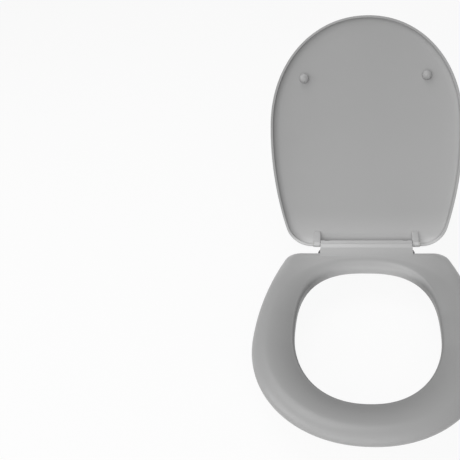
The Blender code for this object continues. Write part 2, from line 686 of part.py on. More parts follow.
def build_wing_nut(name, top, material):
    """Moulded nut: a tapered hub with two rounded wings that reach down past it."""
    hub = turned(name, [(NUT_RADIUS, top), (0.8 * NUT_RADIUS, top - NUT_HEIGHT),
                        (STUD_RADIUS + GAP, top - NUT_HEIGHT), (STUD_RADIUS + GAP, top)],
                 material, hollow=True)
    root = 0.62 * NUT_RADIUS
    bottom = top - NUT_HEIGHT - WING_DROP
    shoulder = top - 0.3 * NUT_HEIGHT
    corner_x = WING_REACH - WING_CORNER
    for side in (-1.0, 1.0):
        outline = [(side * root, top - 0.15 * NUT_HEIGHT), (side * corner_x, shoulder)]
        outline += [(side * (corner_x + WING_CORNER * math.sin(a)),
                     shoulder - WING_CORNER * (1.0 - math.cos(a))) for a in np.radians([30.0, 60.0, 90.0])]
        outline += [(side * (corner_x + WING_CORNER * math.cos(a)),
                     bottom + WING_CORNER * (1.0 - math.sin(a))) for a in np.radians([0.0, 30.0, 60.0, 90.0])]
        outline += [(side * root, top - 0.9 * NUT_HEIGHT)]
        wing = prism("wing", outline, -0.5 * WING_THICKNESS, 0.5 * WING_THICKNESS, material)
        wing.rotation_euler = (0.0, 0.0, math.pi / 2.0)
        combine(hub, wing, "UNION")
    return hub


def sleeve(name, low, high, material):
    """A plain bush along X, from low to high, that lines a pin bore."""
    profile = [(BUSH_RADIUS, high), (BUSH_RADIUS, low), (PIN_RADIUS + GAP, low), (PIN_RADIUS + GAP, high)]
    bush = turned(name, profile, material, hollow=True)
    bush.rotation_euler = (0.0, math.pi / 2.0, 0.0)
    return bush


def empty_on_axis(name):
    """An empty on the hinge line, which carries what turns about it."""
    holder = bpy.data.objects.new(name, None)
    holder.location = (0.0, 0.0, AXIS_HEIGHT)
    bpy.context.collection.objects.link(holder)
    return holder


def build_hinge_side(side, word, lid_axis, ring_axis, paints):
    """All hardware of one hinge: post, cover, gasket, stud, fixing, pin, bushes and cap."""
    metal, plastic, rubber, steel = paints["metal"], paints["plastic"], paints["rubber"], paints["steel"]
    fixed = [build_post(f"hinge_post_{word}", metal),
             build_dome(f"hinge_dome_{word}", metal),
             washer(f"dome_gasket_{word}", DOME_RADIUS - GASKET_OVERHANG, GASKET_THICKNESS, GASKET_THICKNESS,
                    rubber, segments=DOME_SEGMENTS),
             build_stud(f"mounting_stud_{word}", steel),
             washer(f"rubber_washer_{word}", RUBBER_WASHER_RADIUS, -SHELF_THICKNESS, RUBBER_WASHER_THICKNESS,
                    rubber)]
    top = -SHELF_THICKNESS - RUBBER_WASHER_THICKNESS - GAP
    fixed.append(washer(f"plastic_washer_{word}", PLASTIC_WASHER_RADIUS, top, PLASTIC_WASHER_THICKNESS,
                        plastic))
    top -= PLASTIC_WASHER_THICKNESS + GAP
    fixed.append(build_wing_nut(f"wing_nut_{word}", top, plastic))
    for piece in fixed:
        piece.location = (side * POST_X, 0.0, 0.0)

    cap_inner = LUG_OUTER - CAP_SPIGOT
    spans = [(f"hinge_pin_{word}", POST_X - PIN_INNER_REACH, cap_inner - GAP, None),
             (f"ring_bush_inner_{word}", POST_X - PIN_INNER_REACH, POST_X - SLOT_HALF, ring_axis),
             (f"ring_bush_outer_{word}", POST_X + SLOT_HALF, TONGUE_HALF_WIDTH, ring_axis),
             (f"lid_bush_{word}", LUG_INNER, cap_inner - GAP, lid_axis)]
    for name, near, far, holder in spans:
        low, high = sorted((side * near, side * far))
        if holder is None:
            pin = rod_along_x(name, PIN_RADIUS, low, high, steel)
            pin.location = (0.0, 0.0, AXIS_HEIGHT)
        else:
            sleeve(name, low, high, plastic).parent = holder
    spigot = BUSH_RADIUS
    face = LUG_OUTER + GAP
    profile = [(0.0, face + CAP_FLANGE), (0.75 * CAP_FLANGE_RADIUS, face + CAP_FLANGE),
               (CAP_FLANGE_RADIUS, face + 0.5 * CAP_FLANGE), (CAP_FLANGE_RADIUS, face), (spigot, face),
               (spigot, cap_inner), (0.0, cap_inner)]
    cap = turned(f"pin_cap_{word}", profile, plastic)
    cap.rotation_euler = (0.0, side * math.pi / 2.0, 0.0)
    cap.parent = lid_axis


def build():
    """Clear the scene and build the whole seat."""
    for leftover in list(bpy.data.objects):
        bpy.data.objects.remove(leftover)
    shell = paint("moulded_grey", (0.36, 0.36, 0.36), 0.18)
    paints = {"metal": paint("dark_metal", (0.10, 0.10, 0.10), 0.28, 1.0),
              "steel": paint("bright_steel", (0.55, 0.55, 0.55), 0.30, 1.0),
              "plastic": paint("pale_plastic", (0.62, 0.62, 0.60), 0.40),
              "rubber": paint("soft_rubber", (0.06, 0.06, 0.06), 0.70)}
    bumper = paint("soft_grey", (0.33, 0.33, 0.33), 0.45)
    lid_axis = empty_on_axis("lid_axis")
    ring_axis = empty_on_axis("ring_axis")
    build_lid_shell(shell).parent = lid_axis
    button_x, button_y = band_place(LID_BUMPER_ANGLE, LID_BUMPER_SHARE)
    for side, word in ((-1.0, "left"), (1.0, "right")):
        button = build_lid_bumper(f"lid_bumper_{word}", bumper)
        button.location = (side * button_x, button_y, 0.0)
        button.parent = lid_axis
        build_hinge_side(side, word, lid_axis, ring_axis, paints)
    build_seat_ring(shell).parent = ring_axis
    for name, x, y, turn in bumper_places():
        pad = build_seat_bumper(name, bumper)
        pad.location = (x, y, 0.0)
        pad.rotation_euler = (0.0, 0.0, turn)
        pad.parent = ring_axis
    lid_axis.rotation_euler = (-OPEN_ANGLE, 0.0, 0.0)


build()
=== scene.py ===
# %% [markdown]
# # A moulded toilet seat, open
#
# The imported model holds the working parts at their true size. This file gives them their looks: smooth
# surfaces in place of the faceted solids, a finish for each material, and a plain studio. A seat is mostly
# two large polished mouldings, and a polish shows every facet and every kink, so both are made again here as
# fine grids from a few lines of arithmetic.

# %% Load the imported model
import json
import math

import bmesh
import bpy
import numpy as np
from mathutils import Matrix


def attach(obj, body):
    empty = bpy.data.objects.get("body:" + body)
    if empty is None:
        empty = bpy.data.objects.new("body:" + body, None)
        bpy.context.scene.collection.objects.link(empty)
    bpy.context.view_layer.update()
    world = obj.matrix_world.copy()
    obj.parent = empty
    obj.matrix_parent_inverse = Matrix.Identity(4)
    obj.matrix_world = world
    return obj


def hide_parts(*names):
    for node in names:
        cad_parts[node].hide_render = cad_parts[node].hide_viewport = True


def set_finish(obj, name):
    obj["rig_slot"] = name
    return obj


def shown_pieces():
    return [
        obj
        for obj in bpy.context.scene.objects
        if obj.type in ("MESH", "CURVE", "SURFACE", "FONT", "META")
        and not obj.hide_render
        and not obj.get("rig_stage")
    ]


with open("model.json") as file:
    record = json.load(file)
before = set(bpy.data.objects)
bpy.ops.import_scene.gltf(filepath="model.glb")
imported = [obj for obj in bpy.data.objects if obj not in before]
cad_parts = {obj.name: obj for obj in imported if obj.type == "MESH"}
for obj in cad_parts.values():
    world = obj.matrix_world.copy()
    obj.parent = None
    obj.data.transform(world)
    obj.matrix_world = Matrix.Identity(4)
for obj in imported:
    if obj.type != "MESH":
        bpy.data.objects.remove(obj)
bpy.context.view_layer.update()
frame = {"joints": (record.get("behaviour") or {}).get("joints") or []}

# %% [markdown]
# ## Where the hinge is
#
# Lid and ring turn about one line through both posts. The joint tells its height and how far the lid leans
# back, so every piece below can be drawn lying down, which is easy, and then be turned into place.

# %% Hinge line
hinge = next(joint for joint in frame["joints"] if joint["name"] == "lid_hinge")
AXIS_HEIGHT = hinge["pos_m"][2]
OPEN_ANGLE = math.radians(-hinge["range_deg"][0])
LYING = Matrix.Translation((0.0, 0.0, AXIS_HEIGHT))
LEANING = LYING @ Matrix.Rotation(-OPEN_ANGLE, 4, "X")
print(f"hinge line {AXIS_HEIGHT * 1000:.1f} mm up, lid open by {math.degrees(OPEN_ANGLE):.0f} degrees")


# %% [markdown]
# ## From a grid to a mesh
#
# A surface here is an array of points with two directions, rows and columns. One helper joins neighbours
# into quads. Columns always run round and close, and rows can close too. Pieces that end in a point get a
# single vertex there, so no seam or pole stays open. What a modifier makes of a piece is baked into its mesh
# at once.

# %% Grid helper
SHARP_ANGLE = math.radians(32.0)
BEVEL_SEGMENTS = 4
UNTURNED = Matrix.Identity(4)
SIDES = ((-1.0, "left"), (1.0, "right"))


def per_row(start, end, count):
    """Evenly spaced values, one for each row of a grid."""
    return np.linspace(start, end, count)[:, None]


def grid_faces(rows, columns, close_rows=False):
    """Quads between each point of a grid and its next row and column, as vertex numbers."""
    r, c = np.meshgrid(np.arange(rows if close_rows else rows - 1), np.arange(columns), indexing="ij")
    below, beside = (r + 1) % rows, (c + 1) % columns
    return np.stack([r * columns + c, r * columns + beside, below * columns + beside, below * columns + c],
                    axis=-1).reshape(-1, 4).tolist()


def new_piece(name, points, faces, place=UNTURNED):
    """A smooth mesh from points and faces, moved to its place and turned so that its faces look outwards."""
    mesh = bpy.data.meshes.new(name)
    mesh.from_pydata(np.asarray(points, float).reshape(-1, 3).tolist(), [], faces)
    shell = bmesh.new()
    shell.from_mesh(mesh)
    bmesh.ops.recalc_face_normals(shell, faces=shell.faces)
    shell.to_mesh(mesh)
    shell.free()
    mesh.transform(place)
    mesh.shade_smooth()
    piece = bpy.data.objects.new(name, mesh)
    bpy.context.scene.collection.objects.link(piece)
    return piece


def capped(name, points, first_pole, last_pole, place=UNTURNED):
    """A grid whose columns run round, closed at both ends by a fan of triangles to a pole."""
    rows, columns = points.shape[:2]
    faces = grid_faces(rows, columns)
    first, last = rows * columns, rows * columns + 1
    base = (rows - 1) * columns
    faces += [(first, (k + 1) % columns, k) for k in range(columns)]
    faces += [(last, base + k, base + (k + 1) % columns) for k in range(columns)]
    everything = np.concatenate([points.reshape(-1, 3), [first_pole], [last_pole]])
    return new_piece(name, everything, faces, place)


def bake(piece):
    """Make what a piece's modifiers show its own mesh."""
    piece.data = bpy.data.meshes.new_from_object(piece.evaluated_get(bpy.context.evaluated_depsgraph_get()))
    piece.modifiers.clear()


def soften(piece, width):
    """Round the sharp edges of a piece."""
    modifier = piece.modifiers.new("soft edges", "BEVEL")
    modifier.width = width
    modifier.segments = BEVEL_SEGMENTS
    modifier.limit_method = "ANGLE"
    modifier.angle_limit = SHARP_ANGLE
    bake(piece)


def shape_with(target, tool, operation):
    """Cut a tool out of a piece or unite it with the piece, then drop the tool and keep sharp edges sharp."""
    modifier = target.modifiers.new(operation, "BOOLEAN")
    modifier.operation = operation
    modifier.solver = "EXACT"
    modifier.object = tool
    bake(target)
    bpy.data.objects.remove(tool)
    target.data.shade_smooth()
    target.data.set_sharp_from_angle(angle=SHARP_ANGLE)


print("grid helper ready, edges sharp from", round(math.degrees(SHARP_ANGLE)), "degrees")

# %% [markdown]
# ## The outline of a seat
#
# Seen from above, the seat is a straight back edge, two corner arcs, two long gentle side arcs and a round
# nose. The nose is a quarter of a superellipse: a circle's formula with another power, here just above 2,
# which makes it a little squarer than an ellipse. All sizes are in metres, measured from the hinge line.

# %% Outline of the lid and the ring
LID_HALF_WIDTH = 0.185
LID_BACK = 0.0035
LID_WIDEST = -0.2355
LID_FRONT = -0.4515
LID_POWER = 2.07
LID_SIDE_RADIUS = 0.650
LID_CORNER_RADIUS = 0.052
RING_HALF_WIDTH = 0.186
RING_BACK = -0.023
RING_WIDEST = -0.2475
RING_FRONT = -0.4525
RING_POWER = 2.1
RING_SIDE_RADIUS = 0.620
RING_CORNER_RADIUS = 0.028
HOLE_HALF_WIDTH = 0.1184
HOLE_BACK = -0.070
HOLE_WIDEST = -0.222
HOLE_FRONT = -0.3815
HOLE_BACK_POWER = 2.59
HOLE_FRONT_POWER = 2.23
MIDDLE = (HOLE_BACK + HOLE_FRONT) / 2.0
OUTLINE_STEPS = 1500


def quarter(half_width, length, power, t):
    """Quarter of a superellipse: half width * cos(t) ** (2 / power), length * sin(t) ** (2 / power)."""
    return half_width * np.clip(np.cos(t), 0.0, 1.0) ** (2.0 / power), length * np.sin(t) ** (2.0 / power)


def seat_outline(half_width, back, widest, front, power, side_radius, corner_radius):
    """Right half of an outline as x and y: a straight back, a corner arc, a side arc and a nose.

    The side arc stands upright at the widest line. The corner arc touches the back edge and the side arc.
    """
    side_x = half_width - side_radius
    corner_y = back - corner_radius
    corner_x = side_x + math.sqrt((side_radius - corner_radius) ** 2 - (corner_y - widest) ** 2)
    turn = math.atan2(corner_y - widest, corner_x - side_x)
    straight = np.linspace(0.0, corner_x, OUTLINE_STEPS, endpoint=False)
    corner = np.linspace(math.pi / 2.0, turn, OUTLINE_STEPS, endpoint=False)
    side = np.linspace(turn, 0.0, OUTLINE_STEPS, endpoint=False)
    nose = np.linspace(0.0, math.pi / 2.0, 3 * OUTLINE_STEPS)
    nose_x, nose_y = quarter(half_width, front - widest, power, nose)
    x = [straight, corner_x + corner_radius * np.cos(corner), side_x + side_radius * np.cos(side), nose_x]
    y = [np.full_like(straight, back), corner_y + corner_radius * np.sin(corner),
         widest + side_radius * np.sin(side), widest + nose_y]
    return np.concatenate(x), np.concatenate(y)


def hole_outline():
    """Right half of the hole's edge: the back and the front quarter of two superellipses."""
    t = np.linspace(0.0, math.pi / 2.0, 3 * OUTLINE_STEPS)
    back_x, back_y = quarter(HOLE_HALF_WIDTH, HOLE_BACK - HOLE_WIDEST, HOLE_BACK_POWER, t[::-1])
    front_x, front_y = quarter(HOLE_HALF_WIDTH, HOLE_FRONT - HOLE_WIDEST, HOLE_FRONT_POWER, t[1:])
    return np.concatenate([back_x, front_x]), HOLE_WIDEST + np.concatenate([back_y, front_y])


LID_LINE = seat_outline(LID_HALF_WIDTH, LID_BACK, LID_WIDEST, LID_FRONT, LID_POWER, LID_SIDE_RADIUS,
                        LID_CORNER_RADIUS)
RING_LINE = seat_outline(RING_HALF_WIDTH, RING_BACK, RING_WIDEST, RING_FRONT, RING_POWER, RING_SIDE_RADIUS,
                         RING_CORNER_RADIUS)
HOLE_LINE = hole_outline()
print(f"lid {LID_HALF_WIDTH * 2000:.0f} x {(LID_BACK - LID_FRONT) * 1000:.0f} mm, "
      f"hole {HOLE_HALF_WIDTH * 2000:.0f} x {(HOLE_BACK - HOLE_FRONT) * 1000:.0f} mm")


# %% [markdown]
# ## Walking round an outline
#
# Both mouldings are wound round one point in the middle of the seat. A direction from that point picks one
# place on each outline, so the outer edge and the hole share their columns. Directions are spread by how far
# one walks along the outline, with extra ones in the corners, where the edge bends most.

# %% Directions and distances
AROUND = 560
CORNER_DENSITY = 0.02


def direction_of(x, y):
    """Angle about the seat's middle: 0 straight back, growing to the right."""
    return np.arctan2(x, y - MIDDLE)


def reach(line, angle):
    """Distance from the seat's middle to an outline in each direction, alike left and right."""
    x, y = line
    return np.interp(np.abs(angle), direction_of(x, y), np.hypot(x, y - MIDDLE))


def walk_round(line):
    """Directions spaced by the distance walked plus a share of the turning, once all the way round."""
    x, y = line
    step = np.hypot(np.diff(x), np.diff(y))
    heading = np.unwrap(np.arctan2(np.diff(y), np.diff(x)))
    bend = np.abs(np.append(np.diff(heading), 0.0))
    travel = np.concatenate([[0.0], np.cumsum(step + CORNER_DENSITY * bend)])
    half = np.interp(np.linspace(0.0, travel[-1], AROUND // 2 + 1), travel, direction_of(x, y))
    return np.concatenate([half, -half[-2:0:-1]])


def smooth(share):
    """Smoothstep: 3 * share ** 2 - 2 * share ** 3, held at 0 and 1 outside."""
    share = np.clip(share, 0.0, 1.0)
    return share * share * (3.0 - 2.0 * share)


def at(distance, height, angle):
    """Points at a distance and a height in each direction from the seat's middle."""
    x, y = distance * np.sin(angle), MIDDLE + distance * np.cos(angle)
    return np.stack(np.broadcast_arrays(x, y, height), axis=-1)


print("columns round the seat:", len(walk_round(RING_LINE)))

# %% [markdown]
# ## The lid
#
# The lid is a shallow crowned dish, turned over: a rounded outer edge, a narrow flat lip, a short steep wall
# inside the lip, and an almost flat underside. Each of these is one block of rows. A slow dome, which
# grows from nothing at the rim to a few millimetres in the middle, is added to all of them, so the large
# faces never read as flat sheet.

# %% Lid surface
LID_RIM_HEIGHT = 0.006
LID_EDGE_RISE = 0.012
LID_EDGE_DEPTH = 0.013
LID_CROWN = 0.005
LID_WALL = 0.005
LID_LIP = 0.0048
LID_LIP_ROUND = 0.0012
POLE_SHARE = 0.012
LID_PLATE_ROWS = 26


def lid_dome(whole, depth):
    """Lift of the slow dome: crown * (1 - (1 - depth / whole) squared)."""
    return LID_CROWN * (1.0 - (1.0 - depth / whole) ** 2)


def lid_inside(whole, depth):
    """Height of the underside: the rim, plus a quarter ellipse inside the lip, plus the slow dome."""
    share = np.clip((depth - LID_LIP) / LID_EDGE_DEPTH, 0.0, 1.0)
    wall = (LID_EDGE_RISE - LID_WALL) * np.sqrt(1.0 - (1.0 - share) ** 2)
    return LID_RIM_HEIGHT + wall + lid_dome(whole, depth)


def lid_rows(angle):
    """Every row of the lid, from the middle of the underside over the rim to the middle of the top.

    A row is a depth in from the outline and a height. Flat stretches share the depth out evenly, and round
    ones are quarter ellipses: depth * (1 - cos t) and rise * sin t, or the other way round.
    """
    whole = reach(LID_LINE, angle)
    depth = whole + (LID_LIP + LID_EDGE_DEPTH - whole) * per_row(POLE_SHARE, 1.0, LID_PLATE_ROWS)
    underside = at(whole - depth, lid_inside(whole, depth), angle)
    depth = LID_LIP + LID_EDGE_DEPTH * (1.0 - np.cos(per_row(math.pi / 2.0, 0.0, 13)[1:]))
    wall = at(whole - depth, lid_inside(whole, depth), angle)
    depth = LID_LIP + (LID_LIP_ROUND - LID_LIP) * np.array([[0.06], [0.3], [0.7], [0.94]])
    lip = at(whole - depth, LID_RIM_HEIGHT, angle)
    turn = np.radians([[0.0], [20.0], [45.0], [70.0]])
    corner = at(whole - LID_LIP_ROUND * (1.0 - np.sin(turn)),
                LID_RIM_HEIGHT + LID_LIP_ROUND * (1.0 - np.cos(turn)), angle)
    turn = per_row(0.0, math.pi / 2.0, 15)
    depth = LID_EDGE_DEPTH * (1.0 - np.cos(turn))
    height = LID_RIM_HEIGHT + LID_LIP_ROUND + (LID_EDGE_RISE - LID_LIP_ROUND) * np.sin(turn)
    edge = at(whole - depth, height + lid_dome(whole, depth), angle)
    depth = whole + (LID_EDGE_DEPTH - whole) * per_row(1.0, POLE_SHARE, LID_PLATE_ROWS)[1:]
    top = at(whole - depth, LID_RIM_HEIGHT + LID_EDGE_RISE + lid_dome(whole, depth), angle)
    return np.concatenate([underside, wall, lip, corner, edge, top])


lid_points = lid_rows(walk_round(LID_LINE))
over_middle = (0.0, MIDDLE, LID_RIM_HEIGHT + LID_EDGE_RISE + LID_CROWN)
under_middle = (0.0, MIDDLE, over_middle[2] - LID_WALL)
lid = capped("lid_moulding", lid_points, under_middle, over_middle)
print("lid rows and columns:", lid_points.shape[:2])

# %% [markdown]
# ## Recess and lugs of the lid
#
# At its back the lid has to clear the round tongue of the ring, so its underside is hollowed a little and its
# back edge stops higher up between the lugs. The lugs are two thick ears that reach down to the hinge pins.
# A straight-sided outline carried along X makes both: the recess is cut away, the lugs are united, and a
# small bevel takes the hardness off their edges first.

# %% Outlines carried along a line
def carried(name, outline, one_end, other_end, along="X", bevel=0.0, place=UNTURNED):
    """A flat outline carried between two ends: (y, z) points along X, or (x, y) points along Z."""
    outline = np.asarray(outline, float)
    count = len(outline)
    ends = []
    for level in sorted((one_end, other_end)):
        column = np.full((count, 1), level)
        ends.append(np.hstack([column, outline] if along == "X" else [outline, column]))
    faces = [range(count), range(count, 2 * count)]
    faces += [(k, (k + 1) % count, count + (k + 1) % count, count + k) for k in range(count)]
    piece = new_piece(name, np.concatenate(ends), faces, place)
    piece.data.set_sharp_from_angle(angle=SHARP_ANGLE)
    if bevel > 0.0:
        soften(piece, bevel)
    return piece


def circle(radius, count=48, height=0.0):
    """Points round a circle, which stands at a height where it is carried along X."""
    t = np.linspace(0.0, 2.0 * math.pi, count, endpoint=False)
    return np.stack([radius * np.cos(t), radius * np.sin(t) + height], axis=-1)


print("a circle of 48 points:", circle(1.0).shape)

# %% Recess and lugs
TONGUE_HALF_WIDTH = 0.0855
HINGE_PLAY = 0.0008
LUG_THICKNESS = 0.0122
LUG_INNER = TONGUE_HALF_WIDTH + HINGE_PLAY
LUG_OUTER = LUG_INNER + LUG_THICKNESS
LUG_EYE_RADIUS = 0.0055
LUG_EYE_SPAN = (-158.0, 12.0)
LUG_FRONT = -0.026
LUG_EDGE = 0.0015
RECESS_FRONT = -0.024
RECESS_DEPTH = 0.0012
RECESS_RAMP = 0.008
NOTCH_HEIGHT = 0.010
BACK_WALL = 0.004
RECESS_CLEAR_BELOW = -0.020


def lid_inside_at(x, y):
    """Height of the lid's underside at one place."""
    whole = float(reach(LID_LINE, direction_of(x, y)))
    return float(lid_inside(whole, whole - math.hypot(x, y - MIDDLE)))


def recess_outline():
    """Side view of what is cut from the lid: a shallow pocket with a soft ramp, and the back edge's notch."""
    surface = lid_inside_at(0.0, RECESS_FRONT)
    top = surface + RECESS_DEPTH
    share = np.linspace(0.0, 1.0, 16)
    front = list(zip(RECESS_FRONT + RECESS_RAMP * share, surface + (top - surface) * smooth(share)))
    return ([(RECESS_FRONT, RECESS_CLEAR_BELOW)] + front
            + [(LID_BACK - BACK_WALL, top), (LID_BACK - BACK_WALL, NOTCH_HEIGHT),
               (LID_BACK + BACK_WALL, NOTCH_HEIGHT), (LID_BACK + BACK_WALL, RECESS_CLEAR_BELOW)])


def lug_outline():
    """Side view of a lug: a round eye about the hinge line and a web that spreads up into the lid.

    The web's upper corners lie inside the lid, so that the union leaves no gap.
    """
    root = lid_inside_at(LUG_INNER, LUG_FRONT) + 0.4 * LID_WALL
    turn = np.radians(np.linspace(*LUG_EYE_SPAN, 40))
    eye = [(LUG_EYE_RADIUS * math.cos(t), LUG_EYE_RADIUS * math.sin(t)) for t in turn]
    return eye + [(LID_BACK - 0.35 * LID_LIP, LID_RIM_HEIGHT + 0.2 * LID_EDGE_RISE),
                  (LID_BACK - 0.55 * LID_EDGE_DEPTH, root), (LUG_FRONT, root),
                  (LUG_FRONT, root - 0.6 * LID_WALL)]


shape_with(lid, carried("recess", recess_outline(), -LUG_INNER, LUG_INNER), "DIFFERENCE")
for side, _ in SIDES:
    lug = carried("lug", lug_outline(), side * LUG_INNER, side * LUG_OUTER, bevel=LUG_EDGE)
    shape_with(lid, lug, "UNION")
lid.data.transform(LEANING)
print("lid faces after the recess and the lugs:", len(lid.data.polygons))

# %% [markdown]
# ## The ring
#
# The ring is one hollow moulding, open beneath. Its section has a wide soft roll outside, a level top, a
# slope that falls ever faster towards the hole, a rim that turns over in a quarter ellipse, wider than it is
# deep, and a skirt down into the hole. The slope is narrow at the back and wide at the sides and the front.
# The same section, drawn again one wall further in, is the inside, and the two skins meet at the feet.

# %% Ring surface
RING_TOP = 0.0048
RING_BELLY = -0.0095
RING_BOTTOM = -0.016
RING_SKIRT_BOTTOM = -0.0148
RING_SHOULDER = 0.017
RING_ROLL = 0.026
RING_TAPER = 0.003
RING_FALL = 3.5
RING_SLOPE_BACK = 0.022
RING_SLOPE_FRONT = 0.054
RING_SLOPE_TURN = math.radians(100.0)
RING_WALL = 0.0045
RING_LIP_INSIDE = 0.001
RING_LIP_BACK = 0.013
RING_LIP_SPREAD = 1.8
RING_LIP_TURN = math.radians(75.0)


def slope_width(angle):
    """Width of the slope: it grows from the back round to the front, as far as the shoulder leaves room."""
    share = smooth(np.abs(angle) / RING_SLOPE_TURN)
    room = reach(RING_LINE, angle) - RING_SHOULDER - reach(HOLE_LINE, angle)
    return np.minimum(RING_SLOPE_BACK + (RING_SLOPE_FRONT - RING_SLOPE_BACK) * share, room)


def ring_height(angle, distance):
    """Height of the ring's top: level, less fall * (how far into the slope) squared."""
    into = slope_width(angle) - (distance - reach(HOLE_LINE, angle))
    return RING_TOP - RING_FALL * np.clip(into, 0.0, None) ** 2


def ring_lip(angle):
    """Depth of the rim that turns the top over into the hole: large at the back, small elsewhere."""
    small = RING_WALL + RING_LIP_INSIDE
    return RING_LIP_BACK + (small - RING_LIP_BACK) * smooth(np.abs(angle) / RING_LIP_TURN)


def ring_skin(angle, inset):
    """Rows over the ring's section, from the outer foot to the skirt in the hole, an inset below the surface.

    Both round stretches are quarter ellipses, and the outer one follows the slope where the two overlap.
    """
    outer, inner = reach(RING_LINE, angle), reach(HOLE_LINE, angle)
    lip = ring_lip(angle)
    spread = RING_LIP_SPREAD * lip + (1.0 - RING_LIP_SPREAD) * (RING_WALL + RING_LIP_INSIDE)
    share = per_row(0.0, 1.0, 7)[:-1]
    foot = at(outer - RING_TAPER * (1.0 - share) ** 2 - inset,
              RING_BOTTOM + (RING_BELLY - RING_BOTTOM) * share, angle)
    turn = per_row(0.0, math.pi / 2.0, 17)[:-1]
    distance = outer - RING_ROLL + (RING_ROLL - inset) * np.cos(turn)
    rise = (RING_TOP - RING_BELLY - inset) * np.sin(turn)
    roll = at(distance, RING_BELLY + rise + ring_height(angle, distance) - RING_TOP, angle)
    share = per_row(0.0, 1.0, 26)
    distance = (outer - RING_ROLL) * (1.0 - share) + (inner + spread) * share
    top = at(distance, ring_height(angle, distance) - inset, angle)
    edge = ring_height(angle, inner + spread)
    turn = per_row(0.0, math.pi / 2.0, 9)[1:]
    rim = at(inner + spread - (spread - inset) * np.sin(turn),
             edge - lip + (lip - inset) * np.cos(turn), angle)
    share = per_row(0.0, 1.0, 5)[1:]
    skirt = at(inner + inset, (edge - lip) * (1.0 - share) + RING_SKIRT_BOTTOM * share, angle)
    return np.concatenate([foot, roll, top, rim, skirt])


ring_angle = walk_round(RING_LINE)
ring_points = np.concatenate([ring_skin(ring_angle, 0.0), ring_skin(ring_angle, RING_WALL)[::-1]])
ring = new_piece("ring_moulding", ring_points, grid_faces(*ring_points.shape[:2], close_rows=True))
print("ring rows and columns:", ring_points.shape[:2])

# %% [markdown]
# ## The tongue
#
# Behind the hole the ring grows a wide tongue that ends in a barrel round the hinge line. Its top leaves the
# ring level, rises along a short smooth step, and meets the barrel where the circle is level too, so light
# runs across without a break. A shallow groove lies just in front of the barrel. Two slots let the posts in.

# %% Tongue
BARREL_RADIUS = 0.0075
TONGUE_ROOT = -0.046
TONGUE_START = -0.042
TONGUE_FOOT = -0.019
TONGUE_CREST = -0.007
TONGUE_SINK = 0.0004
GROOVE_AT = -0.0045
GROOVE_WIDTH = 0.0022
GROOVE_DEPTH = 0.0007
TONGUE_EDGE = 0.0010
POST_X = 0.073
EYE_WIDTH = 0.009
SHANK_DEPTH = 0.009
SLOT_PLAY = 0.0005
SLOT_REACH = 1.6
EYE_RADIUS = 0.0058


def tongue_top(y):
    """Height of the tongue's top: ring top + step * smoothstep, less a bell-shaped groove."""
    step = smooth((y - TONGUE_FOOT) / (TONGUE_CREST - TONGUE_FOOT))
    groove = GROOVE_DEPTH * np.exp(-((y - GROOVE_AT) / GROOVE_WIDTH) ** 2)
    sink = TONGUE_SINK * np.clip((TONGUE_START - y) / (TONGUE_START - TONGUE_ROOT), 0.0, 1.0)
    return RING_TOP + (BARREL_RADIUS - RING_TOP) * step - groove - sink


def tongue_outline():
    """Side view of the tongue: its top from root to barrel, round the barrel, and the neck beneath."""
    y = np.linspace(TONGUE_ROOT, 0.0, 60)
    top = list(zip(y, tongue_top(y)))
    turn = np.linspace(math.pi / 2.0, math.radians(-118.0), 64)[1:]
    barrel = [(BARREL_RADIUS * math.cos(t), BARREL_RADIUS * math.sin(t)) for t in turn]
    neck = [(RING_BACK - 0.4 * RING_WALL, RING_BELLY + 0.3 * (RING_TOP - RING_BELLY)),
            (TONGUE_ROOT, RING_TOP - 0.8 * RING_WALL)]
    return top + barrel + neck


def slot_outline():
    """Side view of a post's slot: round the eye, and open from below the barrel round to its back."""
    half = 0.5 * SHANK_DEPTH + SLOT_PLAY
    wide, close = SLOT_REACH * BARREL_RADIUS, EYE_RADIUS + SLOT_PLAY
    far_turn, near_turn = math.asin(half / wide), math.asin(half / close)
    mouth = np.linspace(-far_turn, OPEN_ANGLE + far_turn, 40)
    round_eye = np.linspace(OPEN_ANGLE + near_turn, 2.0 * math.pi - near_turn, 40)
    return ([(wide * math.sin(t), -wide * math.cos(t)) for t in mouth]
            + [(close * math.sin(t), -close * math.cos(t)) for t in round_eye])


tongue = carried("ring_tongue", tongue_outline(), -TONGUE_HALF_WIDTH, TONGUE_HALF_WIDTH, bevel=TONGUE_EDGE)
half = 0.5 * EYE_WIDTH + SLOT_PLAY
for side, _ in SIDES:
    slot = carried("slot", slot_outline(), side * POST_X - half, side * POST_X + half)
    shape_with(tongue, slot, "DIFFERENCE")
print("tongue faces:", len(tongue.data.polygons))

# %% [markdown]
# ## Ribs, bosses and bores beneath
#
# Turned over, the ring shows how it is stiffened: thin ribs across the hollow, and a boss for each pad's peg.
# They are simple prisms sunk into the moulding's wall, so that one union makes a single body of them all.

# %% Underside of the ring
BUMPER_SEAT = 0.001
BUMPER_TOP = RING_BOTTOM + BUMPER_SEAT
BUMPER_LENGTH = 0.022
BUMPER_WIDTH = 0.011
BOSS_MARGIN = 0.001
BOSS_SINK = 0.55
PEG_RADIUS = 0.0022
PEG_LENGTH = 0.006
PEG_SIDES = 32
FRONT_BUMPER = (math.radians(131.2), 0.50)
BACK_BUMPER = (math.radians(35.9), 0.55)
RIB_THICKNESS = 0.0025
RIB_RECESS = 0.004
RIB_ANGLES = (62.0, 97.0, 152.0)
RIB_SKIPS = 3
GAP = 0.0003
PIN_INNER_REACH = 0.0155
BORE_RADIUS = 0.004


def stadium(length, width, count=24):
    """A slot-shaped outline, long side along Y: two half circles joined by straight lines."""
    radius = 0.5 * width
    points = []
    for start, offset in ((0.0, 0.5 * length - radius), (math.pi, radius - 0.5 * length)):
        points += [(radius * math.cos(start + t), offset + radius * math.sin(start + t))
                   for t in np.linspace(0.0, math.pi, count)]
    return points


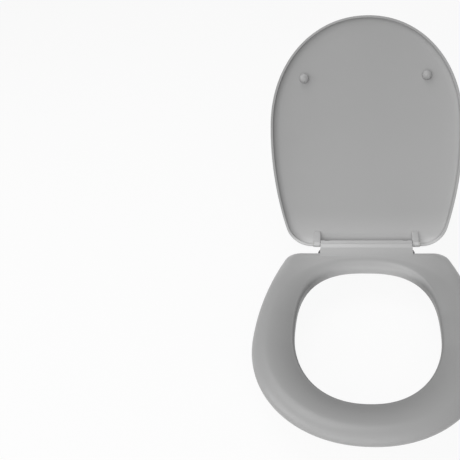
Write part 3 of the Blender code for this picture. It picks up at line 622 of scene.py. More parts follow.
def on_band(angle, share):
    """Place on the ring's band: share 0 at the hole's edge, 1 at the outer edge."""
    distance = float(reach(HOLE_LINE, angle)) * (1.0 - share) + float(reach(RING_LINE, angle)) * share
    return distance * math.sin(angle), MIDDLE + distance * math.cos(angle), distance


def standing(x, y, turn=0.0):
    """Moves a piece drawn at the origin to x and y, turned about the upright."""
    return Matrix.Translation((x, y, 0.0)) @ Matrix.Rotation(turn, 4, "Z")


pad_places = []
for side, word in SIDES:
    for end, (angle, share) in (("front", FRONT_BUMPER), ("back", BACK_BUMPER)):
        x, y, distance = on_band(angle, share)
        top = float(ring_height(angle, distance))
        pad_places.append((f"{end}_{word}", standing(side * x, y, math.pi / 2.0 - side * angle), top))

shape_with(ring, tongue, "UNION")
for degrees in RIB_ANGLES:
    for side, _ in SIDES:
        angle = math.radians(side * degrees)
        x, y, height = ring_skin(np.array([angle]), 0.5 * RING_WALL)[RIB_SKIPS:, 0].T
        section = np.stack([np.hypot(x, y - MIDDLE), np.maximum(height, RING_BOTTOM + RIB_RECESS)], axis=-1)
        rib = carried("rib", section, -0.5 * RIB_THICKNESS, 0.5 * RIB_THICKNESS,
                      place=standing(0.0, MIDDLE, -angle))
        shape_with(ring, rib, "UNION")
boss_outline = stadium(BUMPER_LENGTH + 2.0 * BOSS_MARGIN, BUMPER_WIDTH + 2.0 * BOSS_MARGIN)
for _, place, top in pad_places:
    boss = carried("boss", boss_outline, BUMPER_TOP, top - BOSS_SINK * RING_WALL, "Z", place=place)
    shape_with(ring, boss, "UNION")
    peg_hole = carried("peg_hole", circle(PEG_RADIUS + GAP, PEG_SIDES), 2.0 * RING_BOTTOM,
                       BUMPER_TOP + PEG_LENGTH + GAP, "Z", place=place)
    shape_with(ring, peg_hole, "DIFFERENCE")
for side, _ in SIDES:
    bore = carried("bore", circle(BORE_RADIUS), side * (POST_X - PIN_INNER_REACH - GAP),
                   side * (TONGUE_HALF_WIDTH + GAP))
    shape_with(ring, bore, "DIFFERENCE")
ring.data.transform(LYING)
print("ring faces with tongue, ribs and bosses:", len(ring.data.polygons))

# %% [markdown]
# ## Turned pieces
#
# Covers, washers, studs and buttons are all round. Each is a profile of radius and height, spun about the
# upright: point = (radius * cos t, radius * sin t, height).

# %% Turned pieces
SPIN = 96


def turned(name, profile, hollow=False, place=UNTURNED, spin=SPIN):
    """Spin a profile of (radius, height). A hollow one closes on itself; others start and end on the axis."""
    profile = np.asarray(profile, float)
    t = np.linspace(0.0, 2.0 * math.pi, spin, endpoint=False)
    body = profile if hollow else profile[1:-1]
    points = np.stack([body[:, :1] * np.cos(t), body[:, :1] * np.sin(t),
                       np.repeat(body[:, 1:], spin, axis=1)], axis=-1)
    if hollow:
        piece = new_piece(name, points, grid_faces(len(body), spin, close_rows=True), place)
    else:
        piece = capped(name, points, (0.0, 0.0, profile[0, 1]), (0.0, 0.0, profile[-1, 1]), place)
    piece.data.set_sharp_from_angle(angle=SHARP_ANGLE)
    return piece


def rounded(profile, radius, steps=5):
    """Replace each corner of a closed profile by a short arc that leaves both sides at the radius."""
    profile = np.asarray(profile, float)
    result = []
    for k, corner in enumerate(profile):
        before = profile[k - 1] - corner
        after = profile[(k + 1) % len(profile)] - corner
        cut_before = before / np.hypot(*before) * min(radius, 0.45 * np.hypot(*before))
        cut_after = after / np.hypot(*after) * min(radius, 0.45 * np.hypot(*after))
        for t in np.linspace(0.0, 1.0, steps):
            result.append(corner + cut_before * (1.0 - t) ** 2 + cut_after * t ** 2)
    return result


def stands_for(piece, body, slot, *nodes):
    """Let a piece move with a body, take its finish from a slot and stand for CAD nodes."""
    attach(piece, body)
    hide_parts(*nodes)
    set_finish(piece, slot)
    return piece


stands_for(lid, "lid", "moulded_grey", "lid_shell")
stands_for(ring, "ring", "moulded_grey", "seat_ring")

# %% [markdown]
# ## Buttons and pads
#
# Two round buttons under the lid land on the ring. They are soft, so their tips are domed and their bases
# sit in shallow pockets. Four pads under the ring carry it on the bowl.

# %% Buttons of the lid
LID_BUTTON = (math.radians(130.9), 0.316)
BUTTON_RADIUS = 0.009
BUTTON_BASE_RADIUS = 0.00873
BUTTON_EDGE = 0.0004
BUTTON_ROUNDING = 0.9
BUTTON_TURN = math.radians(86.4)
POCKET_DEPTH = 0.001

button_x, button_y, button_distance = on_band(*LID_BUTTON)
button_top = lid_inside_at(button_x, button_y) + POCKET_DEPTH - GAP
button_tip = float(ring_height(LID_BUTTON[0], button_distance)) + GAP
button_profile = [(0.0, button_top), (BUTTON_BASE_RADIUS, button_top),
                  (BUTTON_RADIUS, button_top - BUTTON_EDGE)]
button_profile += [(BUTTON_RADIUS * math.cos(t),
                    button_tip + BUTTON_ROUNDING * BUTTON_RADIUS * (1.0 - math.sin(t)))
                   for t in np.linspace(0.0, BUTTON_TURN, 18)]
button_profile.append((0.0, button_tip))
pocket_profile = [(0.0, button_top + GAP), (BUTTON_RADIUS + GAP, button_top + GAP),
                  (BUTTON_RADIUS + GAP, button_tip), (0.0, button_tip)]
for side, word in SIDES:
    spot = LEANING @ standing(side * button_x, button_y)
    stands_for(turned(f"button_{word}", button_profile, place=spot), "lid", "soft_grey", f"lid_bumper_{word}")
    shape_with(lid, turned("pocket", pocket_profile, place=spot), "DIFFERENCE")
print(f"buttons {BUTTON_RADIUS * 2000:.0f} mm across and {(button_top - button_tip) * 1000:.1f} mm high")

# %% Pads of the ring
BUMPER_EDGE = 0.0015
for word, place, _ in pad_places:
    pad = carried(f"pad_{word}", stadium(BUMPER_LENGTH, BUMPER_WIDTH), -AXIS_HEIGHT, BUMPER_TOP - GAP, "Z",
                  bevel=BUMPER_EDGE)
    peg = turned("peg", [(0.0, BUMPER_TOP + PEG_LENGTH), (PEG_RADIUS, BUMPER_TOP + PEG_LENGTH),
                         (PEG_RADIUS, BUMPER_TOP - 3.0 * GAP), (0.0, BUMPER_TOP - 3.0 * GAP)], spin=PEG_SIDES)
    shape_with(pad, peg, "UNION")
    pad.data.transform(LYING @ place)
    stands_for(pad, "ring", "soft_grey", f"seat_bumper_{word}")
print("pads:", len(pad_places))

# %% [markdown]
# ## Hinge hardware
#
# Each hinge stands on the bowl's back shelf: a cast post under a domed cover, a gasket beneath the cover, and
# a stud that passes down through the shelf to two washers and a wing nut.

# %% Posts, covers and gaskets
GASKET_THICKNESS = 0.0015
GASKET_OVERHANG = 0.0004
GASKET_ROUNDING = 0.0004
FOOT_BASE = GASKET_THICKNESS + GAP
FOOT_THICKNESS = 0.002
FOOT_RADIUS = 0.012
FOOT_ROUNDING = 0.0005
AXIS_CLEARANCE = 0.002
EYE_EDGE = 0.0004
EYE_SIDES = 64
BOSS_TOP = 0.0088
PIN_RADIUS = 0.0025
STUD_RADIUS = 0.004
STUD_ENGAGEMENT = 0.0054
DOME_RADIUS = 0.0185
DOME_HEIGHT = 0.0065
DOME_WALL = 0.0012
DOME_POWER = 2.4
DOME_RIM = 0.0003


def dome_profile():
    """Section of a cover: height = rim + rise * (1 - (radius / outer radius) ** power), inside alike."""
    opening = EYE_RADIUS + GAP
    outer_radii = np.linspace(DOME_RADIUS, opening, 40)
    inner_radii = np.linspace(opening, DOME_RADIUS - DOME_WALL, 24)
    inner_radius, inner_height = DOME_RADIUS - DOME_WALL, DOME_HEIGHT - DOME_WALL
    outer = [(r, FOOT_BASE + DOME_RIM + DOME_HEIGHT * (1.0 - (r / DOME_RADIUS) ** DOME_POWER))
             for r in outer_radii]
    inner = [(r, FOOT_BASE + inner_height * (1.0 - (r / inner_radius) ** DOME_POWER)) for r in inner_radii]
    return outer + inner + [(DOME_RADIUS, FOOT_BASE)]


def make_post(place):
    """A round foot with a boss, a flat shank and an eye, less the pin's bore and the stud's socket."""
    foot = rounded([(0.0, BOSS_TOP), (EYE_RADIUS, BOSS_TOP), (EYE_RADIUS, FOOT_BASE + FOOT_THICKNESS),
                    (FOOT_RADIUS, FOOT_BASE + FOOT_THICKNESS), (FOOT_RADIUS, FOOT_BASE), (0.0, FOOT_BASE)],
                   FOOT_ROUNDING)
    foot = [(0.0, BOSS_TOP)] + [p for p in foot if p[0] > AXIS_CLEARANCE] + [(0.0, FOOT_BASE)]
    post = turned("hinge_post", foot)
    half, edge = 0.5 * SHANK_DEPTH, 0.5 * EYE_WIDTH
    shank = carried("shank", [(-half, BOSS_TOP - GAP), (half, BOSS_TOP - GAP), (half, AXIS_HEIGHT),
                              (-half, AXIS_HEIGHT)], -edge, edge, bevel=EYE_EDGE)
    shape_with(post, shank, "UNION")
    eye = carried("eye", circle(EYE_RADIUS, EYE_SIDES, AXIS_HEIGHT), -edge, edge, bevel=EYE_EDGE)
    shape_with(post, eye, "UNION")
    bore = carried("bore", circle(PIN_RADIUS + GAP, EYE_SIDES, AXIS_HEIGHT), -EYE_WIDTH, EYE_WIDTH)
    shape_with(post, bore, "DIFFERENCE")
    depth, wall = FOOT_BASE + STUD_ENGAGEMENT + GAP, STUD_RADIUS + GAP
    socket = turned("socket", [(0.0, depth), (wall, depth), (wall, -GAP), (0.0, -GAP)])
    shape_with(post, socket, "DIFFERENCE")
    post.data.transform(place)
    return post


def washer(name, radius, top, thickness, rounding, place):
    """A flat disc with softened edges and a hole for the stud."""
    bore, bottom = STUD_RADIUS + GAP, top - thickness
    section = rounded([(radius, top), (radius, bottom), (bore, bottom), (bore, top)], rounding)
    return turned(name, section, hollow=True, place=place)


for side, word in SIDES:
    spot = standing(side * POST_X, 0.0)
    post = make_post(spot)
    post.name = f"post_{word}"
    stands_for(post, "base", "dark_metal", f"hinge_post_{word}")
    cover = turned(f"cover_{word}", dome_profile(), hollow=True, place=spot)
    stands_for(cover, "base", "dark_metal", f"hinge_dome_{word}")
    gasket = washer(f"gasket_{word}", DOME_RADIUS - GASKET_OVERHANG, GASKET_THICKNESS, GASKET_THICKNESS,
                    GASKET_ROUNDING, spot)
    stands_for(gasket, "base", "soft_rubber", f"dome_gasket_{word}")
print(f"covers {DOME_RADIUS * 2000:.0f} mm across, {POST_X * 2000:.0f} mm apart")

# %% [markdown]
# The stud's thread is a helix: walking once round the stud climbs one pitch. On a grid, the radius at each
# point depends on height / pitch minus turn, so the ridge winds up the stud with no seam, since one full
# turn shifts the pattern by exactly one pitch.

# %% Studs, washers and wing nuts
STUD_LENGTH = 0.048
THREAD_PITCH = 0.00125
THREAD_DEPTH = 0.0006
STUD_CHAMFER = 0.0008
SHELF_THICKNESS = 0.018
RUBBER_WASHER = (0.012, 0.003)
PLASTIC_WASHER = (0.0135, 0.002)
WASHER_ROUNDING = 0.0005
NUT_RADIUS = 0.0085
NUT_HEIGHT = 0.012
NUT_ROUNDING = 0.0006
WING_REACH = 0.023
WING_DROP = 0.006
WING_THICKNESS = 0.0032
WING_CORNER = 0.005
WING_EDGE = 0.0008


def make_stud(name, place):
    """A threaded rod: radius = full - depth * triangle wave of (height / pitch - turn), thin at both ends."""
    top, spin = FOOT_BASE + STUD_ENGAGEMENT, 36
    height = np.linspace(top, top - STUD_LENGTH, 400)[:, None]
    turn = np.linspace(0.0, 1.0, spin, endpoint=False)[None, :]
    wave = np.abs(2.0 * ((height / THREAD_PITCH - turn) % 1.0) - 1.0)
    end = np.minimum(top - height, height - top + STUD_LENGTH)
    radius = np.minimum(STUD_RADIUS - THREAD_DEPTH * wave, STUD_RADIUS - STUD_CHAMFER + end)
    angle = 2.0 * math.pi * turn
    points = np.stack([radius * np.cos(angle), radius * np.sin(angle), height + 0.0 * turn], axis=-1)
    return capped(name, points, (0.0, 0.0, top), (0.0, 0.0, top - STUD_LENGTH), place)


def wing_outline(side, top):
    """Front view of one wing: out from the hub, round its two outer corners, and back below the hub."""
    root, corner_x = 0.62 * NUT_RADIUS, WING_REACH - WING_CORNER
    shoulder, bottom = top - 0.3 * NUT_HEIGHT, top - NUT_HEIGHT - WING_DROP
    points = [(root, top - 0.15 * NUT_HEIGHT)]
    for middle, start in ((shoulder - WING_CORNER, math.pi / 2.0), (bottom + WING_CORNER, 0.0)):
        points += [(corner_x + WING_CORNER * math.cos(start - t), middle + WING_CORNER * math.sin(start - t))
                   for t in np.linspace(0.0, math.pi / 2.0, 9)]
    points += [(root, top - 0.9 * NUT_HEIGHT)]
    return [(side * y, z) for y, z in points]


def make_wing_nut(name, top, place):
    """A tapered hub with a bore for the stud and two rounded wings."""
    bore = STUD_RADIUS + GAP
    nut = turned(name, rounded([(NUT_RADIUS, top), (0.8 * NUT_RADIUS, top - NUT_HEIGHT),
                                (bore, top - NUT_HEIGHT), (bore, top)], NUT_ROUNDING), hollow=True)
    for side, _ in SIDES:
        wing = carried("wing", wing_outline(side, top), -0.5 * WING_THICKNESS, 0.5 * WING_THICKNESS,
                       bevel=WING_EDGE, place=Matrix.Rotation(math.pi / 2.0, 4, "Z"))
        shape_with(nut, wing, "UNION")
    nut.data.transform(place)
    return nut


for side, word in SIDES:
    spot, top = standing(side * POST_X, 0.0), -SHELF_THICKNESS
    stands_for(make_stud(f"stud_{word}", spot), "base", "bright_steel", f"mounting_stud_{word}")
    for kind, (radius, thickness), slot in (("rubber", RUBBER_WASHER, "soft_rubber"),
                                            ("plastic", PLASTIC_WASHER, "pale_plastic")):
        disc = washer(f"{kind}_disc_{word}", radius, top, thickness, WASHER_ROUNDING, spot)
        stands_for(disc, "base", slot, f"{kind}_washer_{word}")
        top -= thickness + GAP
    wings = make_wing_nut(f"wings_{word}", top, spot)
    stands_for(wings, f"nut_{word}", "pale_plastic", f"wing_nut_{word}")
print(f"studs {STUD_LENGTH * 1000:.0f} mm long, {STUD_LENGTH / THREAD_PITCH:.0f} turns of thread")

# %% [markdown]
# ## Caps
#
# A small cap with a thin flange closes each lug's bore on the outside and keeps the floating pin in. Its face
# is turned, drawn in towards the rim so that it has no hard edge.

# %% Caps over the pin bores
CAP_FLANGE = 0.0016
CAP_SPIGOT = 0.0045
CAP_RADIUS = 0.0053
CAP_DRAW_IN = 0.8
CAP_ROUNDING = 0.6
BUSH_RADIUS = 0.0037
face, inner = LUG_OUTER + GAP, LUG_OUTER - CAP_SPIGOT
cap_profile = [(0.0, face + CAP_FLANGE)]
cap_profile += [(CAP_RADIUS - CAP_DRAW_IN * CAP_FLANGE * (1.0 - math.sin(t)),
                 face + CAP_FLANGE - CAP_ROUNDING * CAP_FLANGE * (1.0 - math.cos(t)))
                for t in np.linspace(0.0, math.pi / 2.0, 10)]
cap_profile += [(CAP_RADIUS, face), (BUSH_RADIUS, face), (BUSH_RADIUS, inner), (0.0, inner)]
for side, word in SIDES:
    cap = turned(f"cap_{word}", cap_profile, place=LEANING @ Matrix.Rotation(side * math.pi / 2.0, 4, "Y"))
    stands_for(cap, "lid", "pale_plastic", f"pin_cap_{word}")
    bore = carried("bore", circle(BORE_RADIUS), side * (LUG_INNER - GAP), side * (LUG_OUTER + GAP),
                   place=LEANING)
    shape_with(lid, bore, "DIFFERENCE")
print("lid faces when all is cut:", len(lid.data.polygons))

# %% [markdown]
# ## Writing finishes as formulas
#
# A finish is a small network of nodes. The class below wraps one output of a node, so sums read as ordinary
# arithmetic, and one method adds any other kind of node. Settings are made before inputs, since they can
# change which inputs a node has.

# %% Wires between nodes
def arithmetic(operation, reflected=False):
    """A method that adds a Math node; reflected, it puts the wire second, as in 2 - wire."""
    def apply(self, other):
        return self.math(operation, *((other, self) if reflected else (self, other)))
    return apply


class Wire:
    """One value in a finish. Arithmetic with it adds Math nodes."""

    def __init__(self, socket):
        self.socket = socket
        self.tree = socket.id_data

    @staticmethod
    def node(tree, kind, settings, inputs, output=0):
        """Add a node of any kind and return one output; inputs are numbers, tuples or other wires."""
        added = tree.nodes.new(kind)
        for name, value in settings.items():
            setattr(added, name, value)
        for key, value in inputs.items():
            if isinstance(value, Wire):
                tree.links.new(value.socket, added.inputs[key])
            else:
                added.inputs[key].default_value = value
        return Wire(added.outputs[output]) if added.outputs else added

    def math(self, operation, *values):
        """A Math node with these values, in their order."""
        return Wire.node(self.tree, "ShaderNodeMath", {"operation": operation}, dict(enumerate(values)))

    __add__, __radd__ = arithmetic("ADD"), arithmetic("ADD", reflected=True)
    __sub__, __rsub__ = arithmetic("SUBTRACT"), arithmetic("SUBTRACT", reflected=True)
    __mul__, __rmul__ = arithmetic("MULTIPLY"), arithmetic("MULTIPLY", reflected=True)
    __truediv__ = arithmetic("DIVIDE")

    def clip(self, low, high):
        """This wire held between two values."""
        return self.math("MINIMUM", self.math("MAXIMUM", self, low), high)

    def between(self, low, high):
        """A ramp from 0 at low to 1 at high."""
        return ((self - low) / (high - low)).clip(0.0, 1.0)


def bare_tree(owner):
    """Give a material or a world an empty network of nodes."""
    owner.use_nodes = True
    owner.node_tree.nodes.clear()
    return owner.node_tree


class Finish:
    """A material with one Principled surface, filled in by name."""

    def __init__(self, name, **constants):
        self.material = bpy.data.materials.new(name)
        self.tree = bare_tree(self.material)
        self.constants = constants

    def add(self, kind, settings=None, inputs=None, output=0):
        """Add a node to this finish."""
        return Wire.node(self.tree, kind, settings or {}, inputs or {}, output)

    def feed(self, **wires):
        """Set the constants, connect the wires, and return the finished material."""
        inputs = {key.replace("_", " "): value for key, value in (self.constants | wires).items()}
        surface = self.add("ShaderNodeBsdfPrincipled", inputs=inputs)
        self.add("ShaderNodeOutputMaterial", inputs={"Surface": surface})
        return self.material

    def noise(self, scale, detail=2.0, stretch=(1.0, 1.0, 1.0), seed=0.0):
        """A smooth random value round 0.5, with features about 1 / scale metres across in object space."""
        place = self.add("ShaderNodeTexCoord", output="Object")
        spread = self.add("ShaderNodeVectorMath", {"operation": "MULTIPLY_ADD"},
                          {0: place, 1: stretch, 2: (seed, seed, seed)})
        return self.add("ShaderNodeTexNoise", {}, {"Vector": spread, "Scale": scale, "Detail": detail})

    def tint(self, low, high, factor):
        """A colour between two colours."""
        return self.add("ShaderNodeMix", {"data_type": "RGBA"},
                        {0: factor, 6: (*low, 1.0), 7: (*high, 1.0)}, output=2)

    def grey(self, low, high, factor):
        """A colour between two neutral greys."""
        return self.tint([low] * 3, [high] * 3, factor)

    def bump(self, height, strength, distance, normal=None):
        """A normal from a height, on top of another normal where one is given."""
        inputs = {"Height": height, "Strength": strength, "Distance": distance}
        return self.add("ShaderNodeBump", {}, inputs | ({"Normal": normal} if normal else {}))


print("finish helper ready")

# %% [markdown]
# ## Moulded plastic
#
# The mouldings are pressed from a hard, dense plastic with a polished skin. Such a skin is never quite flat:
# it has a faint long-wave ripple, which makes reflections waver, and a finer orange peel. The plastic's own
# colour is even apart from a very slow drift, and handling leaves patches that are a touch less shiny. Each
# moulding's colour also carries painted light and shade at every point: painted light towards the hinge and
# in the crease beside it, painted shade down the slope to the hole and at the foot of the lid's wall. It
# stands for the soft shading of such a seat in a white room, which a few lamps alone don't give.

# %% Painted light and shade of the skins
# Strengths and stretches of the light and shade painted into the mouldings' colour: painted light towards the
# hinge, over the tongue and in the lid's crease, painted shade down the slope, over the hole's rim and at the
# foot of the lid's wall.
TONE_START = -0.130
TONE_LENGTH = 0.070
HINGE_PAINTED_LIGHT = 1.65
CORNER_START = 0.070
CORNER_LENGTH = 0.070
CORNER_LOSS = 0.55
TONGUE_PAINTED_LIGHT = 1.1
TONGUE_TONE_START = -0.055
TONGUE_TONE_LENGTH = 0.030
LIP_PAINTED_SHADE = 0.9
RIM_WIDTH = 0.0045
RIM_PAINTED_SHADE = 1.6
LID_PAINTED_LIGHT_ALONG = 0.7
LID_PAINTED_LIGHT_ACROSS = 0.6
LID_WALL_PAINTED_SHADE = 1.3
LID_HINGE_PAINTED_LIGHT = 1.3
LID_HINGE_LENGTH = 0.070
LID_CREASE_PAINTED_LIGHT = 2.4
LID_CREASE_LENGTH = 0.020


def points_of(piece, place):
    """x, y and z of every point of a piece, measured in the frame that the place stands for."""
    flat = np.empty(3 * len(piece.data.vertices))
    piece.data.vertices.foreach_get("co", flat)
    back = np.array(place.inverted())
    return (flat.reshape(-1, 3) @ back[:3, :3].T + back[:3, 3]).T


def keep_painted_shading(piece, painted_tone):
    """Store one value of painted light and shade per point, and print its range."""
    piece.data.attributes.new("skin_tone", "FLOAT", "POINT").data.foreach_set("value", painted_tone)
    print(f"tone of {piece.name}: {painted_tone.min():.2f} to {painted_tone.max():.2f}")


def ring_painted_shading(x, y):
    """Painted light and shade of the ring: t * (a * k + e * u - 4 b s (1 - s)) - (1 - t) * (s + c * r).

    t grows smoothly towards the hinge, and u over the tongue alone. k falls from 1 towards the back corners,
    s is the way down the slope, and r the way over the rim of the hole. a and e give painted light near the
    hinge and over the tongue; b, s and c give painted shade on the slope and over the rim of the hole.
    """
    angle = direction_of(x, y)
    width = slope_width(angle)
    away = np.hypot(x, y - MIDDLE) - reach(HOLE_LINE, angle)
    down = np.clip((width - away) / width, 0.0, 1.0)
    rim = np.clip((RIM_WIDTH - away) / RIM_WIDTH, 0.0, 1.0)
    # Painted light near the hinge and over the tongue, fading at the back corners.
    towards = smooth((y - TONE_START) / TONE_LENGTH)
    central = 1.0 - CORNER_LOSS * smooth((np.abs(x) - CORNER_START) / CORNER_LENGTH)
    central = HINGE_PAINTED_LIGHT * central + TONGUE_PAINTED_LIGHT * smooth((y - TONGUE_TONE_START) / TONGUE_TONE_LENGTH)
    # Painted shade on the slope near the hinge, and down the slope and over the hole's rim elsewhere.
    return (towards * (central - 4.0 * LIP_PAINTED_SHADE * down * (1.0 - down))
            - (1.0 - towards) * (down + RIM_PAINTED_SHADE * rim))


def lid_painted_shading(x, y, z):
    """Painted light and shade of the lid: a * (share towards the hinge - 1/2) + b * (x / half width) ** 3,
    and what the underside adds.

    That is e * u + f * v - c * (1 - w) ** 2. u and v grow smoothly over a long and a short stretch to the
    hinge, and w is the way over the wall that stands inside the lip. a and b give painted light towards the
    hinge and the right; e and f give painted light near the hinge and in the crease beside it, and c gives
    painted shade at the foot of the wall.
    """
    whole = reach(LID_LINE, direction_of(x, y))
    depth = whole - np.hypot(x, y - MIDDLE)
    wall = np.clip((depth - LID_LIP) / LID_EDGE_DEPTH, 0.0, 1.0)
    beneath = z < lid_inside(whole, depth) + 0.5 * LID_WALL
    # Painted light: lighter towards the hinge and the right, darker towards the front and the left.
    drift_and_painted_light = LID_PAINTED_LIGHT_ALONG * (0.5 - y / LID_FRONT) + LID_PAINTED_LIGHT_ACROSS * (x / LID_HALF_WIDTH) ** 3
    # On the underside: painted light near the hinge and in its crease, painted shade at the foot of the wall.
    hinge_side = (LID_HINGE_PAINTED_LIGHT * smooth(1.0 + y / LID_HINGE_LENGTH)
                  + LID_CREASE_PAINTED_LIGHT * smooth(1.0 + y / LID_CREASE_LENGTH))
    return drift_and_painted_light + beneath * (hinge_side - LID_WALL_PAINTED_SHADE * (1.0 - wall) ** 2 * (depth > LID_LIP))


# Each moulding's points keep their painted light and shade.
keep_painted_shading(ring, ring_painted_shading(*points_of(ring, LYING)[:2]))
keep_painted_shading(lid, lid_painted_shading(*points_of(lid, LEANING)))

# %% Moulded grey
MIDDLE_SHADE = 0.4125
GREY_PER_PAINTED_TONE = 0.171


def moulded_grey():
    finish = Finish("moulded_grey", Specular_IOR_Level=0.5, Coat_Weight=0.12, Coat_Roughness=0.20, IOR=1.5)
    # The slow drift here is the plastic's own colour change, not painted light.
    drift_and_painted_light = finish.noise(5.0, 3.0)
    speckle = finish.noise(900.0, 1.0, seed=3.7)
    # The stored painted light and shade lightens and darkens the grey of the skin.
    painted_tone = finish.add("ShaderNodeAttribute", {"attribute_name": "skin_tone"}, output="Fac")
    shade = MIDDLE_SHADE + painted_tone * GREY_PER_PAINTED_TONE + (drift_and_painted_light - 0.5) * 0.0525 + (speckle - 0.5) * 0.0225
    wear = finish.noise(16.0, 4.0, seed=1.3).between(0.35, 0.75)
    smear = finish.noise(60.0, 3.0, stretch=(1.0, 0.25, 1.0), seed=8.1).between(0.4, 0.7)
    ripple = finish.bump(finish.noise(28.0, 1.0, seed=5.2), 0.10, 0.0006)
    peel = finish.bump(finish.noise(420.0, 2.0, seed=6.4), 0.05, 0.00012, ripple)
    return finish.feed(Base_Color=finish.grey(0.2, 0.6, shade), Normal=peel,
                       Roughness=0.35 + wear * 0.06 + smear * 0.03)


# %% [markdown]
# ## Soft and pale plastics, rubber
#
# The buttons are softer and duller than the mouldings. Nuts, bushes and caps are a pale plastic that shows
# its grain. Rubber is nearly black, with dust in its pores.

# %% Small plastic parts
def soft_grey():
    finish = Finish("soft_grey", Specular_IOR_Level=0.4)
    grain = finish.noise(1400.0, 2.0)
    patch = finish.noise(110.0, 2.0, seed=2.2).between(0.3, 0.7)
    return finish.feed(Base_Color=finish.grey(0.38, 0.42, patch), Roughness=0.38 + grain * 0.10,
                       Normal=finish.bump(grain, 0.12, 0.0001))


def pale_plastic():
    finish = Finish("pale_plastic", Specular_IOR_Level=0.45)
    grain = finish.noise(900.0, 3.0)
    flow = finish.noise(70.0, 3.0, stretch=(1.0, 1.0, 0.3), seed=4.0).between(0.3, 0.7)
    return finish.feed(Base_Color=finish.tint((0.58, 0.58, 0.56), (0.64, 0.64, 0.62), flow),
                       Roughness=0.36 + grain * 0.12, Normal=finish.bump(grain, 0.15, 0.0001))


def soft_rubber():
    finish = Finish("soft_rubber", Specular_IOR_Level=0.35)
    grain = finish.noise(1100.0, 4.0)
    dust = finish.noise(90.0, 4.0, seed=7.0).between(0.45, 0.75)
    return finish.feed(Base_Color=finish.tint((0.030, 0.030, 0.030), (0.060, 0.060, 0.058), dust),
                       Roughness=0.62 + grain * 0.20, Normal=finish.bump(grain, 0.30, 0.00012))


# %% [markdown]
# ## Metals
#
# The covers and posts have a dark plated skin, satin rather than mirror, with fine marks from polishing. The
# studs and pins are plain bright steel with drawn lines along their length and a little tarnish.

# %% Metals
def dark_metal():
    finish = Finish("dark_metal", Metallic=1.0)
    marks = finish.noise(420.0, 3.0, stretch=(1.0, 0.12, 1.0))
    cloud = finish.noise(60.0, 3.0, seed=2.9).between(0.3, 0.7)
    return finish.feed(Base_Color=finish.tint((0.085, 0.085, 0.087), (0.115, 0.115, 0.117), cloud),
                       Roughness=0.26 + marks * 0.12, Normal=finish.bump(marks, 0.10, 0.0001))


def bright_steel():
    finish = Finish("bright_steel", Metallic=1.0)
    lines = finish.noise(800.0, 2.0, stretch=(1.0, 1.0, 0.08))
    tarnish = finish.noise(120.0, 4.0, seed=5.5).between(0.45, 0.8)
    return finish.feed(Base_Color=finish.tint((0.56, 0.56, 0.56), (0.40, 0.39, 0.37), tarnish),
                       Roughness=0.24 + lines * 0.12 + tarnish * 0.15,
                       Normal=finish.bump(lines, 0.12, 0.0001))


# %% [markdown]
# ## Dressing
#
# Each piece takes the finish that its slot names. A node that is carried over as it is has no slot of its
# own, so its packed material's name tells the finish.

# %% Dress every piece
finishes = {make.__name__: make() for make in (moulded_grey, soft_grey, pale_plastic, soft_rubber, dark_metal,
                                               bright_steel)}
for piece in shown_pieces():
    slot = piece.get("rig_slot") or piece.data.materials[0].name.split(".")[0]
    piece.data.materials.clear()
    piece.data.materials.append(finishes[slot])
    piece.data.polygons.foreach_set("material_index", np.zeros(len(piece.data.polygons), dtype=np.int32))

# %% [markdown]
# ## Floor and light
#
# The studio is plain: a wide white floor just below the studs, faint white light from all round, and large
# soft lamps in front, at the left and above. The front lamp isn't mirrored by the polished skins, which would
# show it as one hard patch. The camera sees the floor and the room as white, and so do polished surfaces that
# mirror them. A share of ordinary matte white stays in the floor, so a soft shadow remains.

# %% Floor and surroundings
def seen_or_mirrored(tree):
    """1 for what the camera sees, straight or by way of a polished or clear surface, and 0 for lighting."""
    straight, polished, clear = (Wire.node(tree, "ShaderNodeLightPath", {}, {}, output=f"Is {way} Ray")
                                 for way in ("Camera", "Glossy", "Transmission"))
    return (straight + polished + clear).clip(0.0, 1.0)


FLOOR_HEIGHT = -0.043
FLOOR_HALF = 30.0
FLOOR_GLOW = 0.92
AMBIENT = 0.25
corners = [(-FLOOR_HALF, -FLOOR_HALF, FLOOR_HEIGHT), (FLOOR_HALF, -FLOOR_HALF, FLOOR_HEIGHT),
           (FLOOR_HALF, FLOOR_HALF, FLOOR_HEIGHT), (-FLOOR_HALF, FLOOR_HALF, FLOOR_HEIGHT)]
floor = new_piece("floor", corners, [(0, 1, 2, 3)])
floor_paint = bpy.data.materials.new("white_floor")
tree = bare_tree(floor_paint)
matte = Wire.node(tree, "ShaderNodeBsdfDiffuse", {}, {"Color": (0.85, 0.85, 0.85, 1.0)})
glow = Wire.node(tree, "ShaderNodeEmission", {}, {"Color": (1.0, 1.0, 1.0, 1.0), "Strength": 1.0})
share = seen_or_mirrored(tree) * FLOOR_GLOW
paint = Wire.node(tree, "ShaderNodeMixShader", {}, {0: share, 1: matte, 2: glow})
Wire.node(tree, "ShaderNodeOutputMaterial", {}, {"Surface": paint})
floor.data.materials.append(floor_paint)
floor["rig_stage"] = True

world = bpy.data.worlds.new("white_room")
bpy.context.scene.world = world
tree = bare_tree(world)
strength = AMBIENT + seen_or_mirrored(tree) * (1.0 - AMBIENT)
sky = Wire.node(tree, "ShaderNodeBackground", {}, {"Color": (1.0, 1.0, 1.0, 1.0), "Strength": strength})
Wire.node(tree, "ShaderNodeOutputWorld", {}, {"Surface": sky})
print("floor at", FLOOR_HEIGHT)

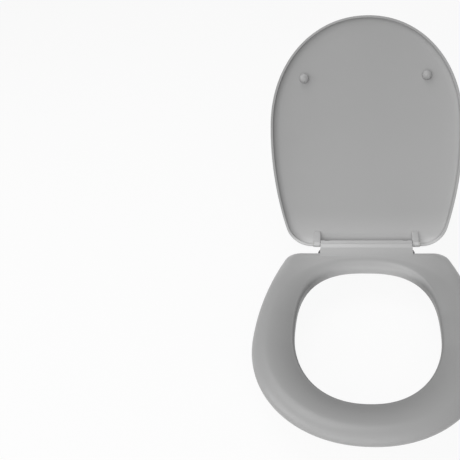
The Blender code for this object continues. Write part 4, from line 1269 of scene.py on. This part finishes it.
# %% Lamps
def lamp(name, spot, aim, width, height, watts):
    """A rectangular soft lamp at a spot, turned towards the point it lights."""
    light = bpy.data.lights.new(name, "AREA")
    light.shape = "RECTANGLE"
    light.size, light.size_y, light.energy = width, height, watts
    holder = bpy.data.objects.new(name, light)
    direction = np.array(aim) - np.array(spot)
    yaw = math.atan2(direction[1], direction[0]) - math.pi / 2.0
    tilt = math.atan2(-direction[2], math.hypot(direction[0], direction[1]))
    holder.matrix_world = (Matrix.Translation(spot) @ Matrix.Rotation(yaw, 4, "Z")
                           @ Matrix.Rotation(math.pi / 2.0 - tilt, 4, "X"))
    bpy.context.scene.collection.objects.link(holder)
    return holder


SEAT_MIDDLE = (0.0, -0.1, 0.08)
lamps = [lamp("front_lamp", (-0.15, -1.89, 0.95), SEAT_MIDDLE, 2.4, 1.7, 25.0),
         lamp("left_lamp", (-1.70, -0.60, 1.05), SEAT_MIDDLE, 1.4, 1.2, 9.0),
         lamp("top_lamp", (-0.55, 0.45, 1.93), SEAT_MIDDLE, 1.2, 1.2, 10.0)]
lamps[0].visible_glossy = False
print("lamps:", [light.name for light in lamps])

# %% [markdown]
# ## Camera
#
# The seat is seen from the front and well above, and it stands to the right in the frame. The lens is turned
# aside by a few degrees and shifted a little, which puts the seat there and keeps other views whole.

# %% Camera
CAMERA_SPOT = (-0.0073, -1.0853, 0.8244)
CAMERA_PITCH = math.radians(33.936)
CAMERA_ASIDE = math.radians(7.126)
CAMERA_ROLL = math.radians(-0.307)
camera_data = bpy.data.cameras.new("camera")
camera_data.sensor_width = 36.0
camera_data.lens = 55.28
camera_data.shift_x = -0.095
camera_data.shift_y = -0.036
camera_data.clip_start = 0.01
camera = bpy.data.objects.new("camera", camera_data)
camera.matrix_world = (Matrix.Translation(CAMERA_SPOT) @ Matrix.Rotation(math.pi / 2.0 - CAMERA_PITCH, 4, "X")
                       @ Matrix.Rotation(CAMERA_ASIDE, 4, "Y") @ Matrix.Rotation(CAMERA_ROLL, 4, "Z"))
bpy.context.scene.collection.objects.link(camera)
bpy.context.scene.camera = camera
bpy.context.scene.view_settings.view_transform = "Standard"
print("camera at", CAMERA_SPOT, "lens", camera_data.lens)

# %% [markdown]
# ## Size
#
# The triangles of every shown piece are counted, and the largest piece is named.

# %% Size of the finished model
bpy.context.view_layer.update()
faces = {piece.name: sum(len(p.vertices) - 2 for p in piece.data.polygons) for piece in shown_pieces()}
print("triangles:", sum(faces.values()), "largest piece:", max(faces, key=faces.get), max(faces.values()))
